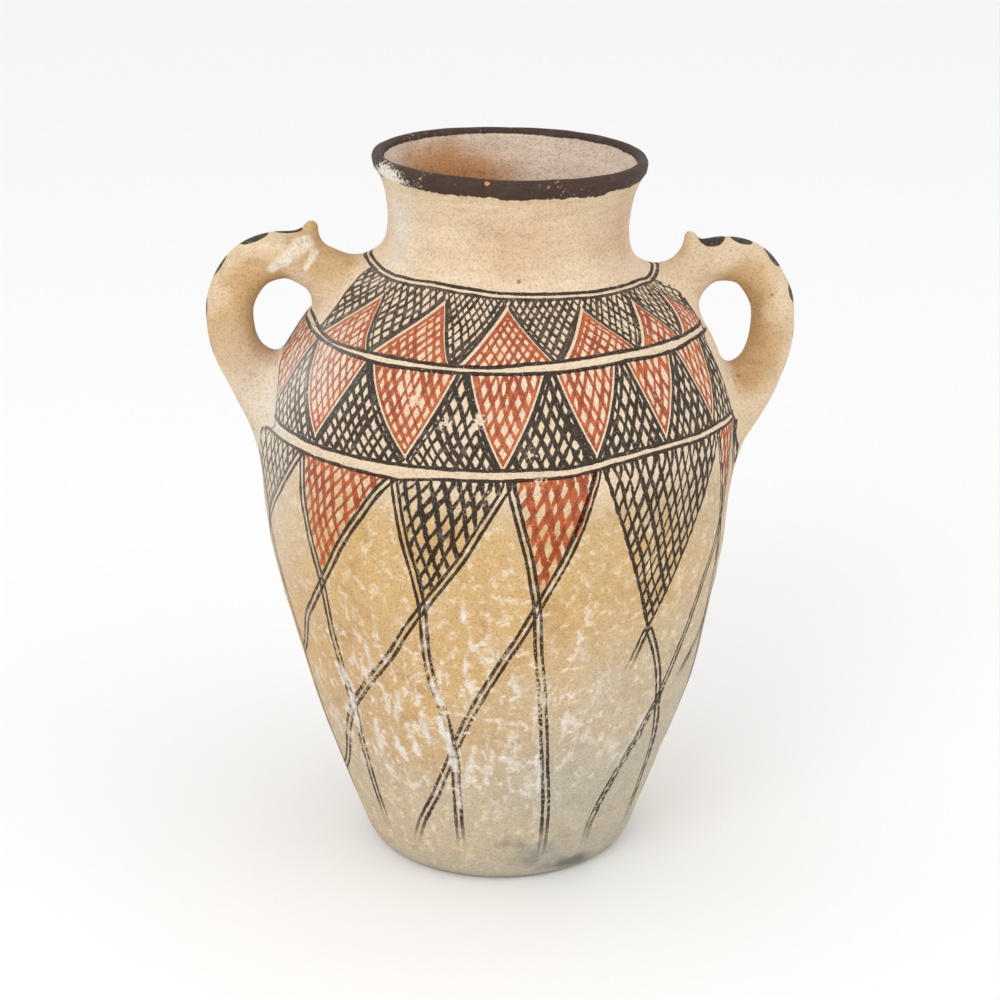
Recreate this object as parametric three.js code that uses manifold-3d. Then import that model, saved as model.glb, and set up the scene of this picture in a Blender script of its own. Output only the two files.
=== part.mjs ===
// A hand-built pottery vase with a wide mouth, a sloping shoulder and two loop handles.
// Millimetres, +Z up, standing on its foot. The origin is the centre of the flat underside,
// and the two handles lie along X. The clay is one fired piece: a hollow wall, with both
// handles and their thumb knobs worked into it.
import * as THREE from 'three';
import { mergeVertices } from 'three/addons/utils/BufferGeometryUtils.js';
import Module from 'manifold-3d';

// Body outline, as radii of the outside at heights above the underside
const height = 401;
const footRadius = 68;
const heelRadius = 78.9;
const heelHeight = 10;
const heelSlope = THREE.MathUtils.degToRad(19.7);
const bellyRadius = 130.5;
const bellyHeight = height - 146;
const shoulderRadius = 103;
const shoulderHeight = height - 84;
const shoulderSlope = THREE.MathUtils.degToRad(40);
const neckRadius = 65.8;
const neckHeight = height - 38;
const mouthRadius = 74.8;
const mouthFlare = THREE.MathUtils.degToRad(42);

// How far each stretch of the outline runs on before it bends away
const heelReach = 108;
const bellyReachDown = 86;
const bellyReachUp = 25;
const shoulderReachDown = 8;
const shoulderReachUp = 19;
const neckReachDown = 28;
const neckReachUp = 13;
const mouthReach = 7;

// Clay thickness
const wall = 7.5;
const floorThickness = 11;
const lipThickness = 7;

// The neck leans towards one handle and the rim drops that way, as the pot was made by hand
const neckLean = 6;
const leanStart = 265;
const rimDrop = Math.tan(THREE.MathUtils.degToRad(1.5));
// The wall bulges a little on each handle side, at different heights
const swells = [
  { side: -1, height: 205, reach: 52, amount: 3 },
  { side: 1, height: 104, reach: 34, amount: 2.4 },
];

// Handles: a rolled coil of clay from inside the shoulder to inside the belly. Its middle line
// starts at the root, and goes on by shares of how far the loop stands out and how tall it is.
// Each knob stands on the coil, from a foot on that line to a tip, given in the same shares.
const rootRadius = shoulderRadius - 25;
const handles = [
  {
    turn: Math.PI,
    coilRadius: 12.5,
    upperRise: 12,
    rootHeight: shoulderHeight + 8.5,
    loopReach: 68.8,
    loopTall: 82.5,
    middle: [[0, 0], [0.145, 0.085], [0.32, 0.188], [0.538, 0.273], [0.814, 0.212],
      [0.988, 0.006], [1, -0.236], [0.906, -0.473], [0.756, -0.739], [0.567, -1]],
    knobFoot: [0.4215, 0.2606],
    knobTip: [0.3314, 0.4909],
    knobBaseRadius: 10,
  },
  {
    turn: 0,
    coilRadius: 12.2,
    upperRise: 28,
    rootHeight: shoulderHeight - 7,
    loopReach: 75.2,
    loopTall: 79,
    middle: [[0, 0], [0.173, 0.12], [0.346, 0.253], [0.545, 0.361], [0.811, 0.316],
      [0.981, 0.089], [1, -0.171], [0.927, -0.443], [0.791, -0.715], [0.532, -1]],
    knobFoot: [0.3856, 0.3291],
    knobTip: [0.3617, 0.5696],
    knobBaseRadius: 7,
  },
];
// The coil is spread where it was smoothed on to the wall, more sideways than up and down
const upperSpread = 27;
const upperFlare = 42;
const lowerSpread = 24;
const lowerFlare = 62;
// Clay pressed into the narrow corner between the coil and the belly
const cornerFill = 4;
const cornerPlace = 47;
const cornerReach = 9;
const knobTipRadius = 3.4;

// Facets
const columns = 48;
const coilSides = 14;
const coilSteps = 26;
const knobSides = 12;

const point = (r, z) => new THREE.Vector2(r, z);
const along = (from, angle, length) =>
  point(from.x + Math.cos(angle) * length, from.y + Math.sin(angle) * length);

// The outside from the heel up to just under the lip
function outerOutline() {
  const heel = point(heelRadius, heelHeight);
  const belly = point(bellyRadius, bellyHeight);
  const shoulder = point(shoulderRadius, shoulderHeight);
  const neck = point(neckRadius, neckHeight);
  const mouth = point(mouthRadius - 0.6, height - lipThickness);
  const path = new THREE.CurvePath();
  path.add(new THREE.CubicBezierCurve(heel, along(heel, Math.PI / 2 - heelSlope, heelReach),
    point(bellyRadius, bellyHeight - bellyReachDown), belly));
  path.add(new THREE.CubicBezierCurve(belly, point(bellyRadius, bellyHeight + bellyReachUp),
    along(shoulder, -shoulderSlope, shoulderReachDown), shoulder));
  path.add(new THREE.CubicBezierCurve(shoulder,
    along(shoulder, Math.PI - shoulderSlope, shoulderReachUp),
    point(neckRadius, neckHeight - neckReachDown), neck));
  path.add(new THREE.CubicBezierCurve(neck, point(neckRadius, neckHeight + neckReachUp),
    along(mouth, -Math.PI / 2 - mouthFlare, mouthReach), mouth));
  const steps = [9, 6, 7, 4];
  return path.curves.flatMap((curve, i) =>
    curve.getPoints(steps[i]).slice(i === 0 ? 0 : 1));
}

// The rounded corner between the flat underside and the wall
function heelCorner() {
  const heel = point(heelRadius, heelHeight);
  const start = point(footRadius, 0);
  const bend = point(heelRadius - heelHeight * Math.tan(heelSlope), 0);
  return new THREE.QuadraticBezierCurve(start, bend, heel).getPoints(3).slice(0, -1);
}

// The same outline moved inwards by the wall, from just above the floor to under the lip
function innerOutline(outer) {
  const inner = outer.map((p, i) => {
    const before = outer[Math.max(i - 1, 0)];
    const after = outer[Math.min(i + 1, outer.length - 1)];
    const run = after.clone().sub(before).normalize();
    return point(p.x - run.y * wall, p.y + run.x * wall);
  });
  return inner.filter((p) => p.y > floorThickness + 1 && p.y < height - 1.4 * lipThickness);
}

// A half-round lip between the outer and the inner wall
function lipArc() {
  const half = lipThickness / 2;
  const centre = point(mouthRadius - half, height - half);
  const steps = 6;
  const arc = [];
  for (let i = 0; i <= steps; i++) {
    arc.push(along(centre, (Math.PI * i) / steps, half));
  }
  return arc;
}

// The outside of the pot as a full body, up to the crest of the lip
function bodyProfile(outer) {
  return [point(0, 0), ...heelCorner(), ...outer, ...lipArc().slice(0, 4), point(0, height)];
}

// The space inside, from the floor up to above the crest of the lip
function hollowProfile(outer) {
  const inner = innerOutline(outer);
  const crest = mouthRadius - lipThickness / 2;
  return [
    point(0, floorThickness),
    point(inner[0].x - wall, floorThickness),
    ...inner,
    ...lipArc().slice(4).reverse(),
    point(crest, height),
    point(crest, height + 20),
    point(0, height + 20),
  ];
}

// A closed outline turned about Z. LatheGeometry turns about Y, so the result is stood up.
function turned(profile, sides) {
  return new THREE.LatheGeometry(profile, sides).rotateX(Math.PI / 2);
}

// A place on a handle, from its shares of the loop
const onLoop = ({ rootHeight, loopReach, loopTall }, [out, up]) =>
  point(rootRadius + out * loopReach, rootHeight + up * loopTall);

// A handle as rings of clay along its middle line, spreading round the wall at both roots
function handleGeometry(handle) {
  const { middle, coilRadius, upperRise, turn } = handle;
  const line = new THREE.SplineCurve(middle.map((share) => onLoop(handle, share)));
  const length = line.getLength();
  const spread = (distance, flare) => Math.max(0, 1 - distance / flare) ** 3;
  const rings = [];
  for (let k = 0; k <= coilSteps; k++) {
    const share = k / coilSteps;
    const centre = line.getPointAt(share);
    const run = line.getTangentAt(share);
    const upper = spread(share * length, upperFlare);
    const fromEnd = (1 - share) * length;
    const lower = spread(fromEnd, lowerFlare);
    const rise = coilRadius + upperRise * upper;
    const fill = cornerFill * Math.exp(-(((fromEnd - cornerPlace) / cornerReach) ** 2));
    const width = coilRadius + upperSpread * upper + lowerSpread * lower;
    const ring = [];
    for (let i = 0; i < coilSides; i++) {
      const angle = (2 * Math.PI * i) / coilSides;
      const out = Math.cos(angle) * (Math.cos(angle) < 0 ? rise + fill : rise);
      const r = centre.x - run.y * out;
      const turnBy = (Math.sin(angle) * width) / r;
      ring.push(new THREE.Vector3(r * Math.cos(turnBy), r * Math.sin(turnBy),
        centre.y + run.x * out));
    }
    rings.push(ring);
  }
  return ringedSolid(rings).rotateZ(turn);
}

// Closed skin over a row of rings, with a fan of triangles at each end
function ringedSolid(rings) {
  const sides = rings[0].length;
  const middle = (ring) => ring.reduce((sum, p) => sum.add(p), new THREE.Vector3())
    .divideScalar(sides);
  const points = [...rings.flat(), middle(rings[0]), middle(rings[rings.length - 1])];
  const startCentre = points.length - 2;
  const endCentre = points.length - 1;
  const lastRing = (rings.length - 1) * sides;
  const index = [];
  for (let i = 0; i < sides; i++) {
    const j = (i + 1) % sides;
    for (let k = 0; k < rings.length - 1; k++) {
      const a = k * sides;
      const b = a + sides;
      index.push(a + i, b + i, b + j, a + i, b + j, a + j);
    }
    index.push(startCentre, i, j);
    index.push(endCentre, lastRing + j, lastRing + i);
  }
  const geometry = new THREE.BufferGeometry().setFromPoints(points);
  geometry.setIndex(index);
  return geometry;
}

// A blunt cone that stands on the coil, pinched up with the thumb
function knobGeometry(handle) {
  const { knobBaseRadius, coilRadius, turn } = handle;
  const foot = onLoop(handle, handle.knobFoot);
  const axis = onLoop(handle, handle.knobTip).sub(foot);
  const top = axis.length();
  const knob = turned([
    point(0, 0),
    point(knobBaseRadius, 0),
    point(knobBaseRadius, 0.75 * coilRadius),
    point((knobTipRadius + knobBaseRadius) / 2, 0.48 * (coilRadius + top)),
    point(knobTipRadius, top - knobTipRadius / 2),
    point(knobTipRadius / 2, 0.98 * top),
    point(0, top),
  ], knobSides);
  knob.rotateY(Math.PI / 2 - axis.angle());
  knob.translate(foot.x, 0, foot.y);
  return knob.rotateZ(turn);
}

// The lean of the neck, the drop of the rim and the swells, for every point of the pot
function leanByHand(geometry) {
  const place = geometry.getAttribute('position');
  for (let i = 0; i < place.count; i++) {
    const x = place.getX(i);
    const z = place.getZ(i);
    const y = place.getY(i);
    const radius = Math.hypot(x, y) || 1;
    let out = 0;
    for (const swell of swells) {
      const facing = Math.max(0, (swell.side * x) / radius) ** 2;
      out += swell.amount * facing * Math.exp(-(((z - swell.height) / swell.reach) ** 2));
    }
    const grow = radius > footRadius / 2 ? 1 + out / radius : 1;
    const lean = THREE.MathUtils.smoothstep(z, leanStart, height) * neckLean;
    const drop = THREE.MathUtils.smoothstep(z, shoulderHeight, height) * rimDrop * x;
    place.setXYZ(i, x * grow + lean, y * grow, z - drop);
  }
  return geometry;
}

const wasm = await Module();
wasm.setup();

function solid(geometry) {
  geometry.deleteAttribute('normal');
  geometry.deleteAttribute('uv');
  const merged = mergeVertices(geometry, 1e-4);
  return new wasm.Manifold(new wasm.Mesh({
    numProp: 3,
    vertProperties: Float32Array.from(merged.getAttribute('position').array),
    triVerts: Uint32Array.from(merged.getIndex().array),
  }));
}

function geometryOf(manifold) {
  const mesh = manifold.getMesh();
  const geometry = new THREE.BufferGeometry();
  geometry.setAttribute('position', new THREE.BufferAttribute(mesh.vertProperties, 3));
  geometry.setIndex(new THREE.BufferAttribute(mesh.triVerts, 1));
  return geometry;
}

// Hollow wall with both handles and knobs worked into the one piece of clay
function vase() {
  const outer = outerOutline();
  let clay = solid(leanByHand(turned(bodyProfile(outer), columns)));
  for (const handle of handles) {
    clay = clay.add(solid(handleGeometry(handle)));
    clay = clay.add(solid(knobGeometry(handle)));
  }
  clay = clay.subtract(solid(leanByHand(turned(hollowProfile(outer), columns))));
  const geometry = geometryOf(clay);
  geometry.computeVertexNormals();
  const firedClay = new THREE.MeshStandardMaterial({
    color: 0xd9bf93, roughness: 0.78, metalness: 0,
  });
  const mesh = new THREE.Mesh(geometry, firedClay);
  mesh.name = 'vase';
  return mesh;
}

const object = new THREE.Group();
object.add(vase());

export default object;
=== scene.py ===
import math

import bmesh
import bpy
import numpy as np
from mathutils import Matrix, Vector


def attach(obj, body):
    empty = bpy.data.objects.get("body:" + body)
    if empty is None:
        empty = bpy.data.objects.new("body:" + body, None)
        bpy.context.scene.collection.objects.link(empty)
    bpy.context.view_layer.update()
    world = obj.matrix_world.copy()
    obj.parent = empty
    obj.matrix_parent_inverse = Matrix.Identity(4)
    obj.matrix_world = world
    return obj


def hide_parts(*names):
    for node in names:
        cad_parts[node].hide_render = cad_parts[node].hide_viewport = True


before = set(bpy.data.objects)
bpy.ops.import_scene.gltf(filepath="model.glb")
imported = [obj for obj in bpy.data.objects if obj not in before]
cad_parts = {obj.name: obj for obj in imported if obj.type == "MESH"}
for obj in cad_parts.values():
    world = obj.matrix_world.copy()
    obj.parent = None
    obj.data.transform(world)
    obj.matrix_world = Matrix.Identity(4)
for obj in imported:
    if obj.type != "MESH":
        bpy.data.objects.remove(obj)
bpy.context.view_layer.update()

mm = 0.001

# Sizes in millimetres and degrees, the same as in the part's source
wallForm = {
    "height": 401.0,
    "footRadius": 68.0,
    "heelRadius": 78.9, "heelHeight": 10.0, "heelSlope": 19.7, "heelReach": 108.0,
    "bellyRadius": 130.5, "bellyHeight": 255.0, "bellyReachDown": 86.0, "bellyReachUp": 25.0,
    "shoulderRadius": 103.0, "shoulderHeight": 317.0, "shoulderSlope": 40.0,
    "shoulderReachDown": 8.0, "shoulderReachUp": 19.0,
    "neckRadius": 65.8, "neckHeight": 363.0, "neckReachDown": 28.0, "neckReachUp": 13.0,
    "mouthRadius": 74.8, "mouthFlare": 42.0, "mouthReach": 7.0,
    "wall": 7.5, "floorThickness": 11.0, "lipThickness": 7.0,
    "neckLean": 6.0, "leanStart": 265.0, "rimDrop": math.tan(math.radians(1.5)),
    "leftSwell": 3.0, "leftSwellHeight": 205.0, "leftSwellReach": 52.0,
    "rightSwell": 2.4, "rightSwellHeight": 104.0, "rightSwellReach": 34.0,
    "columns": 240,      # facets round the pot
    "outerStep": 3.0,    # spacing of the rows on the outside
    "innerStep": 6.0,    # and on the inside, which shows less
    "unevenness": 0.45,  # how far the hand-made wall wanders
    "lidAbove": 390.0,   # only the lid lies above this height and within the crest
}


def smoothStep(value, low, high):
    t = np.clip((value - low) / (high - low), 0, 1)
    return t * t * (3 - 2 * t)


def bezierPoints(a, b, c, d, steps):
    t = np.linspace(0, 1, steps + 1)[:, None]
    a, b, c, d = (np.array(p, float) for p in (a, b, c, d))
    return a * (1 - t) ** 3 + 3 * b * t * (1 - t) ** 2 + 3 * c * t * t * (1 - t) + d * t ** 3


def spaced(line, step=None, count=None):  # evenly spaced points on a line, and its length
    run = np.concatenate([[0], np.cumsum(np.hypot(*np.diff(line, axis=0).T))])
    at = np.linspace(0, run[-1], count or max(1, round(run[-1] / step)) + 1)
    return np.stack([np.interp(at, run, side) for side in line.T], 1), run[-1]


def placed(name, data):  # a new object in the scene
    made = bpy.data.objects.new(name, data)
    bpy.context.scene.collection.objects.link(made)
    return made


def edited(mesh, *steps):  # the same mesh after some steps of editing
    bm = bmesh.new()
    bm.from_mesh(mesh)
    for step in steps:
        step(bm)
    bm.to_mesh(mesh)
    bm.free()
    return mesh


def allFacing(bm):  # all faces turned outward
    bmesh.ops.recalc_face_normals(bm, faces=bm.faces)


def onward(start, degrees, length):
    turn = math.radians(degrees)
    return start[0] + math.cos(turn) * length, start[1] + math.sin(turn) * length


def wallLine(f):  # the outside from the heel to just under the lip
    heel, belly = (f["heelRadius"], f["heelHeight"]), (f["bellyRadius"], f["bellyHeight"])
    shoulder = (f["shoulderRadius"], f["shoulderHeight"])
    neck = (f["neckRadius"], f["neckHeight"])
    mouth = (f["mouthRadius"] - 0.6, f["height"] - f["lipThickness"])
    parts = [
        bezierPoints(heel, onward(heel, 90 - f["heelSlope"], f["heelReach"]),
                     (belly[0], belly[1] - f["bellyReachDown"]), belly, 80),
        bezierPoints(belly, (belly[0], belly[1] + f["bellyReachUp"]),
                     onward(shoulder, -f["shoulderSlope"], f["shoulderReachDown"]), shoulder, 40),
        bezierPoints(shoulder, onward(shoulder, 180 - f["shoulderSlope"], f["shoulderReachUp"]),
                     (neck[0], neck[1] - f["neckReachDown"]), neck, 40),
        bezierPoints(neck, (neck[0], neck[1] + f["neckReachUp"]),
                     onward(mouth, -90 - f["mouthFlare"], f["mouthReach"]), mouth, 30),
    ]
    return np.concatenate([parts[0]] + [p[1:] for p in parts[1:]])


def lipArc(f, start, end, steps):
    half = f["lipThickness"] / 2
    turn = np.radians(np.linspace(start, end, steps + 1))
    return np.stack([f["mouthRadius"] - half + np.cos(turn) * half,
                     f["height"] - half + np.sin(turn) * half], 1)


def outerOutline(f):  # underside, heel corner, wall, and the lip up to its crest
    foot, heel = (f["footRadius"], 0.0), (f["heelRadius"], f["heelHeight"])
    bend = (heel[0] - heel[1] * math.tan(math.radians(f["heelSlope"])), 0.0)
    t = np.linspace(0, 1, 8)[:-1, None]
    corner = (np.array(foot) * (1 - t) ** 2 + 2 * np.array(bend) * t * (1 - t)
              + np.array(heel) * t * t)
    under = np.stack([np.linspace(0, foot[0], 13)[:-1], np.zeros(12)], 1)
    return np.concatenate([under, corner, spaced(wallLine(f), f["outerStep"])[0],
                           lipArc(f, 0, 90, 8)])


def innerOutline(f):  # from the crest of the lip down the inside to the middle of the floor
    line, _ = spaced(wallLine(f), f["innerStep"])
    run = np.gradient(line, axis=0)
    run /= np.hypot(*run.T)[:, None]
    inside = line + np.stack([-run[:, 1], run[:, 0]], 1) * f["wall"]
    low, high = f["floorThickness"] + 1, f["height"] - 1.4 * f["lipThickness"]
    inside = inside[(inside[:, 1] > low) & (inside[:, 1] < high)]
    corner = np.array([[inside[0][0] - 0.3 * f["wall"], f["floorThickness"] + 0.35],
                       [inside[0][0] - f["wall"], f["floorThickness"]]])
    floor = np.stack([np.linspace(corner[1][0], 0, 11)[1:], np.full(10, f["floorThickness"])], 1)
    return np.concatenate([lipArc(f, 90, 180, 8), inside[::-1], corner, floor])


geo, flo, vec = "NodeSocketGeometry", "NodeSocketFloat", "NodeSocketVector"


class Wire:  # a value in a node tree, which sums can be written with
    def __init__(self, bench, socket):
        self.bench, self.socket = bench, socket

    def __add__(self, other): return self.bench.math("ADD", self, other)
    def __sub__(self, other): return self.bench.math("SUBTRACT", self, other)
    def __rsub__(self, other): return self.bench.math("SUBTRACT", other, self)
    def __mul__(self, other): return self.bench.math("MULTIPLY", self, other)
    def __truediv__(self, other): return self.bench.math("DIVIDE", self, other)
    def __abs__(self): return self.bench.math("ABSOLUTE", self)
    __radd__, __rmul__ = __add__, __mul__


class NodeBench:  # places nodes in one tree and joins them
    def __init__(self, tree):
        self.tree = tree

    def add(self, kind, inputs=(), **settings):
        node = self.tree.nodes.new(kind)
        for name, value in settings.items():
            setattr(node, name, value)
        for key, value in (inputs.items() if isinstance(inputs, dict) else enumerate(inputs)):
            self.feed(node.inputs[key], value)
        return node

    def feed(self, socket, value):
        value = getattr(value, "socket", value)
        if isinstance(value, bpy.types.NodeSocket):
            self.tree.links.new(value, socket)
        elif value is not None:
            socket.default_value = value

    def wire(self, kind, inputs=(), key=0, **settings):
        return Wire(self, self.add(kind, inputs, **settings).outputs[key])

    def wires(self, node):
        return {s.name: Wire(self, s) for s in node.outputs}

    def math(self, operation, *values):
        return self.wire("ShaderNodeMath", values, operation=operation)

    def vector(self, operation, *values, key=0):
        return self.wire("ShaderNodeVectorMath", values, key, operation=operation)

    def least(self, a, b): return self.math("MINIMUM", a, b)

    def most(self, first, *rest):
        for value in rest:
            first = self.math("MAXIMUM", first, value)
        return first

    def ramp(self, value, low, high, out=(0.0, 1.0), kind="SMOOTHSTEP"):
        return self.wire("ShaderNodeMapRange", {"Value": value, "From Min": low, "From Max": high,
                                                "To Min": out[0], "To Max": out[1]},
                         interpolation_type=kind, clamp=True)

    def split(self, vector):
        return [Wire(self, s) for s in self.add("ShaderNodeSeparateXYZ", [vector]).outputs]

    def join(self, x, y, z):
        return self.wire("ShaderNodeCombineXYZ", [x, y, z])


def newTree(name, kind, inputs, *titles):  # inputs are pairs of a socket kind and its names
    tree = bpy.data.node_groups.new(name, kind)
    for socket, values in inputs:
        for title, value in values.items():
            made = tree.interface.new_socket(name=title, in_out="INPUT", socket_type=socket)
            if value is not None:
                made.default_value = value
    for title in titles:
        tree.interface.new_socket(name=title, in_out="OUTPUT",
                                  socket_type=geo if title == "Geometry" else flo)
    b = NodeBench(tree)
    return tree, b, b.wires(b.add("NodeGroupInput")), b.add("NodeGroupOutput").inputs


def socketId(tree, name):
    return next(i.identifier for i in tree.interface.items_tree
                if i.name == name and getattr(i, "in_out", "") == "INPUT")


def lengths(f, text):  # inputs by title, in metres, from the values in millimetres
    return {title.strip(): f[title.strip()[0].lower() + title.strip()[1:].replace(" ", "")] * mm
            for title in text.split(",")}


def sampled(b, line, place, index):  # the place of one point of a line
    return b.wire("GeometryNodeSampleIndex", {"Geometry": line, "Value": place, "Index": index},
                  data_type="FLOAT_VECTOR", clamp=True)


def deliver(b, shape, g, out):
    real = b.wire("GeometryNodeRealizeInstances", {"Geometry": shape})
    b.feed(out[0], b.wire("GeometryNodeSetMaterial", {"Geometry": real, "Material": g["Clay"]}))


# Turns an outline round the axis, then gives the wall the lean, drop and swells of the hand
def turnedSkinTree():
    tree, b, g, out = newTree("turnedSkin", "GeometryNodeTree", [
        (geo, {"Outline": None}), ("NodeSocketInt", {"Columns": 240, "Rows": 10}),
        (flo, dict.fromkeys(("Neck Lean", "Lean Start", "Height", "Rim Drop", "Shoulder Height",
                             "Plain Radius", "Left Swell", "Left Swell Height",
                             "Left Swell Reach", "Right Swell", "Right Swell Height",
                             "Right Swell Reach"), 0.03)),
        ("NodeSocketMaterial", {"Clay": None})], "Geometry")
    grid = b.wire("GeometryNodeMeshGrid", {
        "Size X": 1.0, "Size Y": 1.0, "Vertices X": g["Columns"] + 1.0, "Vertices Y": g["Rows"]})
    index = b.wire("GeometryNodeInputIndex")
    column = b.math("FLOOR", (index + 0.5) / g["Rows"])
    row = index - column * g["Rows"]
    place = b.wire("GeometryNodeInputPosition")
    radius, _, up = b.split(sampled(b, g["Outline"], place, row))
    turn = column / g["Columns"] * 2 * math.pi + math.pi / 2
    cosine, sine = b.math("COSINE", turn), b.math("SINE", turn)

    def swell(side, amount, height, reach):
        facing = b.math("POWER", b.most(cosine * side, 0.0), 2.0)
        off = (up - height) / reach
        bell = b.math("EXPONENT", off * off * -1.0)
        return amount * facing * bell

    left, right = (swell(k, g[s + " Swell"], g[s + " Swell Height"], g[s + " Swell Reach"])
                   for k, s in ((-1.0, "Left"), (1.0, "Right")))
    held = b.math("GREATER_THAN", radius, g["Plain Radius"])
    swollen = radius + (left + right) * held
    lean = b.ramp(up, g["Lean Start"], g["Height"]) * g["Neck Lean"]
    sideways = radius * cosine
    drop = b.ramp(up, g["Shoulder Height"], g["Height"]) * g["Rim Drop"] * sideways
    moved = b.wire("GeometryNodeSetPosition", {
        "Geometry": grid, "Position": b.join(swollen * cosine + lean, swollen * sine, up - drop)})
    closed = b.wire("GeometryNodeMergeByDistance", {"Geometry": moved, "Distance": 2e-5})
    deliver(b, closed, g, out)
    return tree


# Lays rings of clay along a middle line and spreads them where they meet the wall
def rolledCoilTree():
    tree, b, g, out = newTree("rolledCoil", "GeometryNodeTree", [
        (geo, {"Middle Line": None}), ("NodeSocketInt", {"Rings": 80, "Sides": 48}),
        (flo, dict.fromkeys(
            ("Length", "Coil Radius", "Upper Rise", "Upper Spread", "Upper Flare", "Lower Spread",
             "Lower Flare", "Corner Fill", "Corner Place", "Corner Reach", "Turn"), 0.03)),
        ("NodeSocketMaterial", {"Clay": None})], "Geometry")
    tube = b.wire("GeometryNodeMeshCylinder", {
        "Vertices": g["Sides"], "Side Segments": g["Rings"] - 1.0, "Radius": 1.0, "Depth": 1.0},
        fill_type="TRIANGLE_FAN")
    place = b.wire("GeometryNodeInputPosition")
    x, y, z = b.split(place)
    share = z + 0.5
    ring = b.math("ROUND", share * (g["Rings"] - 1.0))

    def lineAt(step):
        return sampled(b, g["Middle Line"], place, ring + step)

    run = b.vector("NORMALIZE", b.vector("SUBTRACT", lineAt(1.0), lineAt(-1.0)))
    runOut, _, runUp = b.split(run)
    middleOut, _, middleUp = b.split(lineAt(0.0))
    fromStart = share * g["Length"]
    fromEnd = (1 - share) * g["Length"]
    upper = b.math("POWER", b.most(1 - fromStart / g["Upper Flare"], 0.0), 3.0)
    lower = b.math("POWER", b.most(1 - fromEnd / g["Lower Flare"], 0.0), 3.0)
    off = (fromEnd - g["Corner Place"]) / g["Corner Reach"]
    fill = g["Corner Fill"] * b.math("EXPONENT", off * off * -1.0)
    under = b.math("LESS_THAN", x, 0.0)
    rise = g["Coil Radius"] + g["Upper Rise"] * upper + fill * under
    width = g["Coil Radius"] + g["Upper Spread"] * upper + g["Lower Spread"] * lower
    away = x * rise
    radius = middleOut - runUp * away
    turn = y * width / radius + g["Turn"]
    moved = b.wire("GeometryNodeSetPosition", {"Geometry": tube, "Position": b.join(
        radius * b.math("COSINE", turn), radius * b.math("SINE", turn), middleUp + runOut * away)})
    deliver(b, moved, g, out)
    return tree


def pointLine(name, points):  # a mesh of loose points (r, 0, z), in metres
    mesh = bpy.data.meshes.new(name)
    mesh.from_pydata([(r * mm, 0.0, z * mm) for r, z in points],
                     [(i, i + 1) for i in range(len(points) - 1)], [])
    return placed(name, mesh)


def grow(host, tree, values):  # sets the inputs by identifier, then makes a plain mesh
    modifier = host.modifiers.new(tree.name, "NODES")
    modifier.node_group = tree
    for name, value in values.items():
        modifier[socketId(tree, name)] = value
    bpy.context.view_layer.update()
    seen = host.evaluated_get(bpy.context.evaluated_depsgraph_get())
    mesh = bpy.data.meshes.new_from_object(seen)
    host.modifiers.clear()
    bpy.data.objects.remove(host)
    return mesh


clay = bpy.data.materials.new("paintedClay")
skinTree, coilTree = turnedSkinTree(), rolledCoilTree()


def turnedSkin(name, outline, f):
    return grow(pointLine(name, outline), skinTree, {
        "Columns": f["columns"], "Rows": len(outline), "Rim Drop": f["rimDrop"],
        "Plain Radius": f["footRadius"] / 2 * mm, "Clay": clay,
        **lengths(f, "Neck Lean, Lean Start, Height, Shoulder Height, Left Swell,"
                     "Left Swell Height, Left Swell Reach, Right Swell, Right Swell Height,"
                     "Right Swell Reach")})


outerMesh = turnedSkin("outerLine", outerOutline(wallForm), wallForm)
innerMesh = turnedSkin("innerLine", innerOutline(wallForm), wallForm)
print("wall turned:", len(outerMesh.polygons), "and", len(innerMesh.polygons), "faces")

coilForm = {
    "sides": 48, "rings": 84,
    "upperSpread": 27.0, "upperFlare": 42.0, "lowerSpread": 24.0, "lowerFlare": 62.0,
    "cornerFill": 4.0, "cornerPlace": 47.0, "cornerReach": 9.0,
    "knobTipRadius": 3.4,
    "rootBlend": 14.0,   # how wide the clay is smoothed where a coil meets the wall
    "knobBlend": 7.0,
    # where clay of a handle can lie: out from the axis, to its sides, lowest and highest
    "room": (40.0, 90.0, 180.0, 385.0),
    "handles": [
        {"side": -1, "coilRadius": 12.5, "upperRise": 12.0, "knobBaseRadius": 10.0,
         "knobFoot": (107.0, 347.0), "knobTip": (100.8, 366.0),
         "middle": [(78, 325.5), (88, 332.5), (100, 341), (115, 348), (134, 343), (146, 326),
                    (146.8, 306), (140.3, 286.5), (130, 264.5), (117, 243)]},
        {"side": 1, "coilRadius": 12.2, "upperRise": 28.0, "knobBaseRadius": 7.0,
         "knobFoot": (107.0, 336.0), "knobTip": (105.2, 355.0),
         "middle": [(78, 310), (91, 319.5), (104, 330), (119, 338.5), (139, 335), (151.8, 317),
                    (153.2, 296.5), (147.7, 275), (137.5, 253.5), (118, 231)]},
    ],
}


def middleLine(points, count):  # a smooth line through the points, evenly stepped
    p = np.array(points, float)
    fine = []
    for i in range(len(p) - 1):
        a, b, c, d = p[max(i - 1, 0)], p[i], p[i + 1], p[min(i + 2, len(p) - 1)]
        t = np.linspace(0, 1, 30, endpoint=False)[:, None]
        u, v = (c - a) / 2, (d - b) / 2
        cubic, square = 2 * b - 2 * c + u + v, -3 * b + 3 * c - 2 * u - v
        fine.append(cubic * t ** 3 + square * t * t + u * t + b)
    return spaced(np.concatenate(fine + [p[-1:]]), count=count)


def rolledCoil(h, f):
    line, length = middleLine(h["middle"], f["rings"])
    return grow(pointLine("middleLine", line), coilTree, {
        "Rings": f["rings"], "Sides": f["sides"], "Length": length * mm,
        "Turn": math.pi if h["side"] < 0 else 0.0, "Clay": clay,
        **lengths(h, "Coil Radius, Upper Rise"),
        **lengths(f, "Upper Spread, Upper Flare, Lower Spread, Lower Flare,"
                     "Corner Fill, Corner Place, Corner Reach")})


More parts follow.
